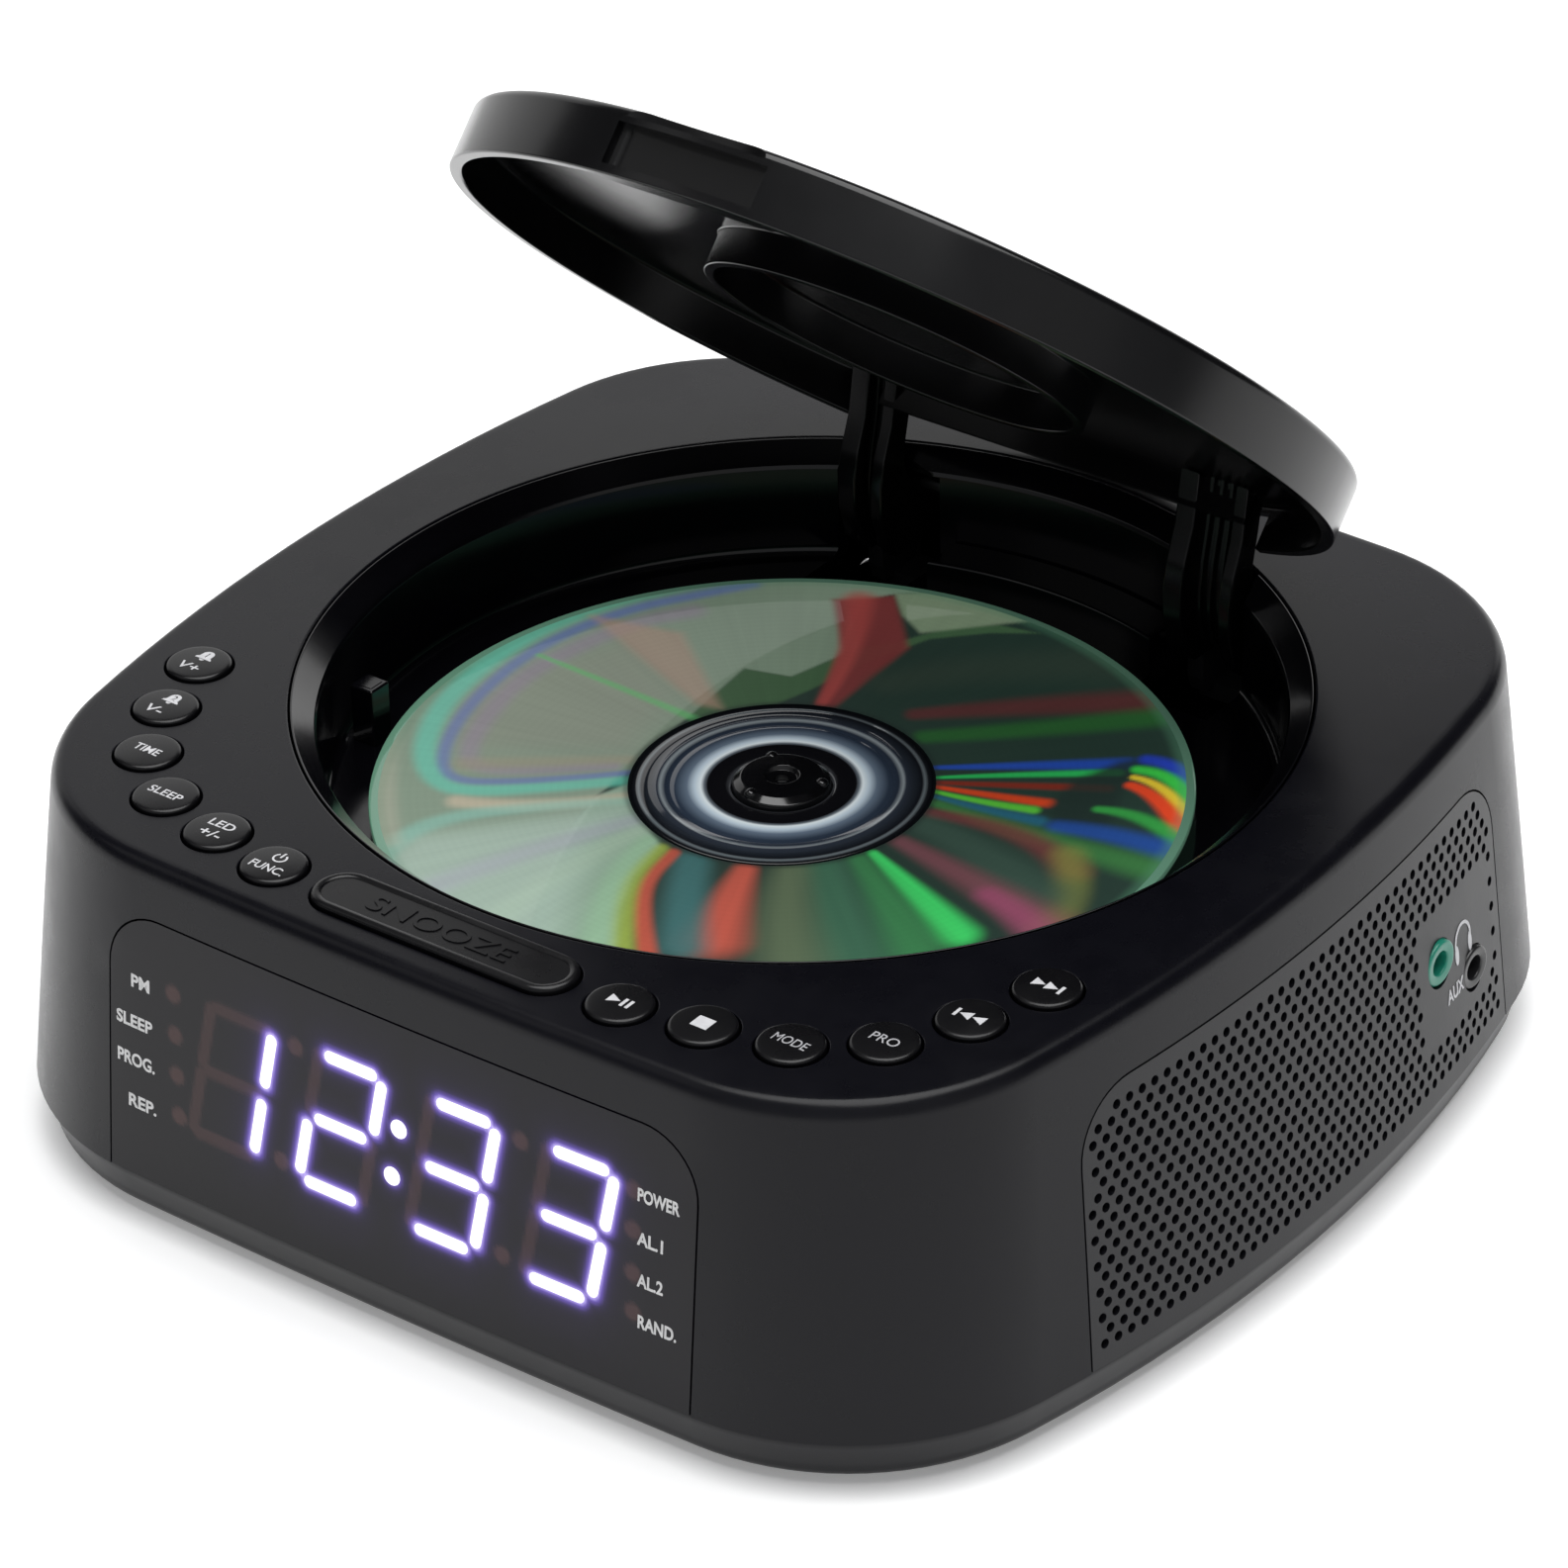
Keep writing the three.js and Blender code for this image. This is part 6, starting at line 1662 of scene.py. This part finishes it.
# ------------------------------------------------------------------ rear inlet
bag = Bag()
yb = max(p[1] for p in [at(geo_z(22.0), s_back(-46.0, 22.0))]) - 0.4
rp = rounded([(3.1, yb - 9.0), (3.1, yb), (4.7, yb + 0.25), (4.7, yb - 12.0)], {1: 0.4, 2: 0.4}, 4)
ids = bag.rings([[(-46 + r * math.cos(t), y, 22 + r * math.sin(t)) for t in np.arange(40) * 2 * math.pi / 40] for r, y in rp])
bag.fan(ids[0], (-46, yb - 9.0, 22))
bag.fan(ids[-1], (-46, yb - 12.0, 22))
add_object("inlet_barrel", bag.mesh("inlet_barrel"), [M["jack_black"]], "case", ["power_inlet"], sharp=40)
bag = Bag()
ids = bag.rings([[(-46 + r * math.cos(t), y, 22 + r * math.sin(t)) for t in np.arange(20) * 2 * math.pi / 20] for r, y in ((1.0, yb - 9.1), (1.0, yb - 1.9), (0.6, yb - 1.5))])
bag.fan(ids[0], (-46, yb - 9.1, 22))
bag.fan(ids[-1], (-46, yb - 1.5, 22))
add_object("inlet_pin", bag.mesh("inlet_pin"), [M["brass"]], "case", wn=False)

# ------------------------------------------------------------------ CAD nodes that stay, with finished materials
keep = {
    "display_module": "display", "display_pcb": "board", "main_pcb": "board", "button_pcb": "board",
    "speaker_right": "cone", "speaker_left": "cone", "hinge_pin_left": "steel", "hinge_pin_right": "steel",
    "hinge_bracket_left": "chassis", "hinge_bracket_right": "chassis", "lid_spring": "steel", "spindle_motor": "steel",
    "mech_chassis": "chassis", "damper_1": "rubber", "damper_2": "rubber", "damper_3": "rubber", "damper_4": "rubber",
    "pickup_sled": "jack_black", "objective_lens": "optic", "guide_rod_front": "steel", "guide_rod_back": "steel",
    "sled_motor": "steel", "sled_gear": "white", "backup_cell_front": "cell", "backup_cell_back": "cell",
    "case_screw_right": "steel", "case_screw_left": "steel"}
for n, k in keep.items():
    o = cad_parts[n]
    o.data.materials.clear()
    o.data.materials.append(M[k])

# ------------------------------------------------------------------ floor and light
fl = bpy.data.materials.new("floor_paper")
t = nt(fl)
out = t.nodes.new("ShaderNodeOutputMaterial")
b = t.nodes.new("ShaderNodeBsdfPrincipled")
link(t, b.outputs[0], out.inputs[0])
n = noise(t, coords(t), 30.0, 4.0)
link(t, ramp(t, n, [(0.3, (0.90, 0.90, 0.905)), (0.7, (0.93, 0.93, 0.93))]), b.inputs["Base Color"])
b.inputs["Roughness"].default_value = 0.8
b.inputs["Specular IOR Level"].default_value = 0.1
b.inputs["Emission Color"].default_value = (1.0, 1.0, 1.0, 1)
b.inputs["Emission Strength"].default_value = 0.22
me = bpy.data.meshes.new("floor")
W = 3.0
prof = [(-W, 0.0), (-1.0, 0.0), (0.0, 0.0), (1.0, 0.0), (W, 0.0)]
az = AZ
dirb = np.array([-math.sin(az), math.cos(az)])
dirr = np.array([math.cos(az), math.sin(az)])
vs, fs = [], []
for i, (d, z) in enumerate(prof):
    for sgn in (-1, 1):
        p = dirb * d + dirr * sgn * 4.0
        vs.append((p[0], p[1], z))
for i in range(len(prof) - 1):
    fs.append((2 * i, 2 * i + 1, 2 * i + 3, 2 * i + 2))
me.from_pydata(vs, [], fs)
me.shade_smooth()
me.materials.append(fl)
floor = bpy.data.objects.new("floor", me)
scene.collection.objects.link(floor)


def area(name, loc, target, size, power, col=(1, 1, 1), size_y=None, spread=None):
    ld = bpy.data.lights.new(name, "AREA")
    ld.energy = power
    ld.color = col
    ld.size = size
    if size_y:
        ld.shape = "RECTANGLE"
        ld.size_y = size_y
    if spread:
        ld.spread = math.radians(spread)
    ob = bpy.data.objects.new(name, ld)
    scene.collection.objects.link(ob)
    ob.location = loc
    ob.rotation_mode = "QUATERNION"
    ob.rotation_quaternion = (Vector(target) - Vector(loc)).to_track_quat("-Z", "Y")
    return ob


def panel(name, centre, facing, width, z0, z1, strength, col=(1.0, 1.0, 1.0), left=1.0):
    """An upright glowing studio screen; facing is the horizontal direction it looks along."""
    fx, fy = facing
    l = math.hypot(fx, fy)
    tx, ty = -fy / l, fx / l
    me_ = bpy.data.meshes.new(name)
    me_.from_pydata([(centre[0] + tx * u_, centre[1] + ty * u_, z_) for u_, z_ in
                     ((-width / 2, z0), (width / 2, z0), (width / 2, z1), (-width / 2, z1))], [], [(0, 1, 2, 3)])
    mt = bpy.data.materials.new(name + "_glow")
    tr = nt(mt)
    o_ = tr.nodes.new("ShaderNodeOutputMaterial")
    e_ = tr.nodes.new("ShaderNodeEmission")
    e_.inputs[0].default_value = (*col, 1)
    at_e = tr.nodes.new("ShaderNodeAttribute")
    at_e.attribute_name = "level"
    link(tr, at_e.outputs["Fac"], e_.inputs[1])
    link(tr, e_.outputs[0], o_.inputs[0])
    lv = me_.attributes.new("level", "FLOAT", "POINT")
    lv.data.foreach_set("value", [strength * left, strength, strength, strength * left])
    me_.materials.append(mt)
    ob_ = bpy.data.objects.new(name, me_)
    scene.collection.objects.link(ob_)
    ob_.visible_camera = False  # a light card lights and mirrors, but never stands in a view
    return ob_


ll = math.radians(62.0)
line_dir = np.array([math.cos(ll), math.sin(ll)])
mid = dirb * 0.60
panel("screen_back_left", tuple(mid + line_dir * 0.15), (line_dir[1], -line_dir[0]), 1.5, 0.0, 0.462, 1.62, left=0.45)
panel("screen_front_left", (-0.75, -0.85), (0.66, 0.75), 0.9, 0.55, 1.25, 0.6)
panel("screen_right", (1.25, -0.45), (-0.94, 0.34), 0.9, 0.25, 1.0, 0.42)
area("overhead", (0.15, 0.0, 1.6), (0, 0, 0), 1.6, 36, size_y=1.6)
world = bpy.data.worlds.new("world")
scene.world = world
world.use_nodes = True
wt = world.node_tree
bg = wt.nodes["Background"]
bg.inputs[0].default_value = (0.95, 0.97, 1.0, 1)
wc = wt.nodes.new("ShaderNodeTexCoord")
wd = wt.nodes.new("ShaderNodeVectorMath")
wd.operation = "DOT_PRODUCT"
wd.inputs[1].default_value = (math.sin(AZ), -math.cos(AZ), 0.0)
wt.links.new(wc.outputs["Generated"], wd.inputs[0])
wr = wt.nodes.new("ShaderNodeMapRange")
wr.interpolation_type = "SMOOTHSTEP"
wr.inputs["From Min"].default_value = 0.05
wr.inputs["From Max"].default_value = 0.9
wr.inputs["To Min"].default_value = 0.05
wr.inputs["To Max"].default_value = 0.42
wt.links.new(wd.outputs["Value"], wr.inputs["Value"])
wt.links.new(wr.outputs["Result"], bg.inputs[1])
scene.view_settings.view_transform = "Standard"
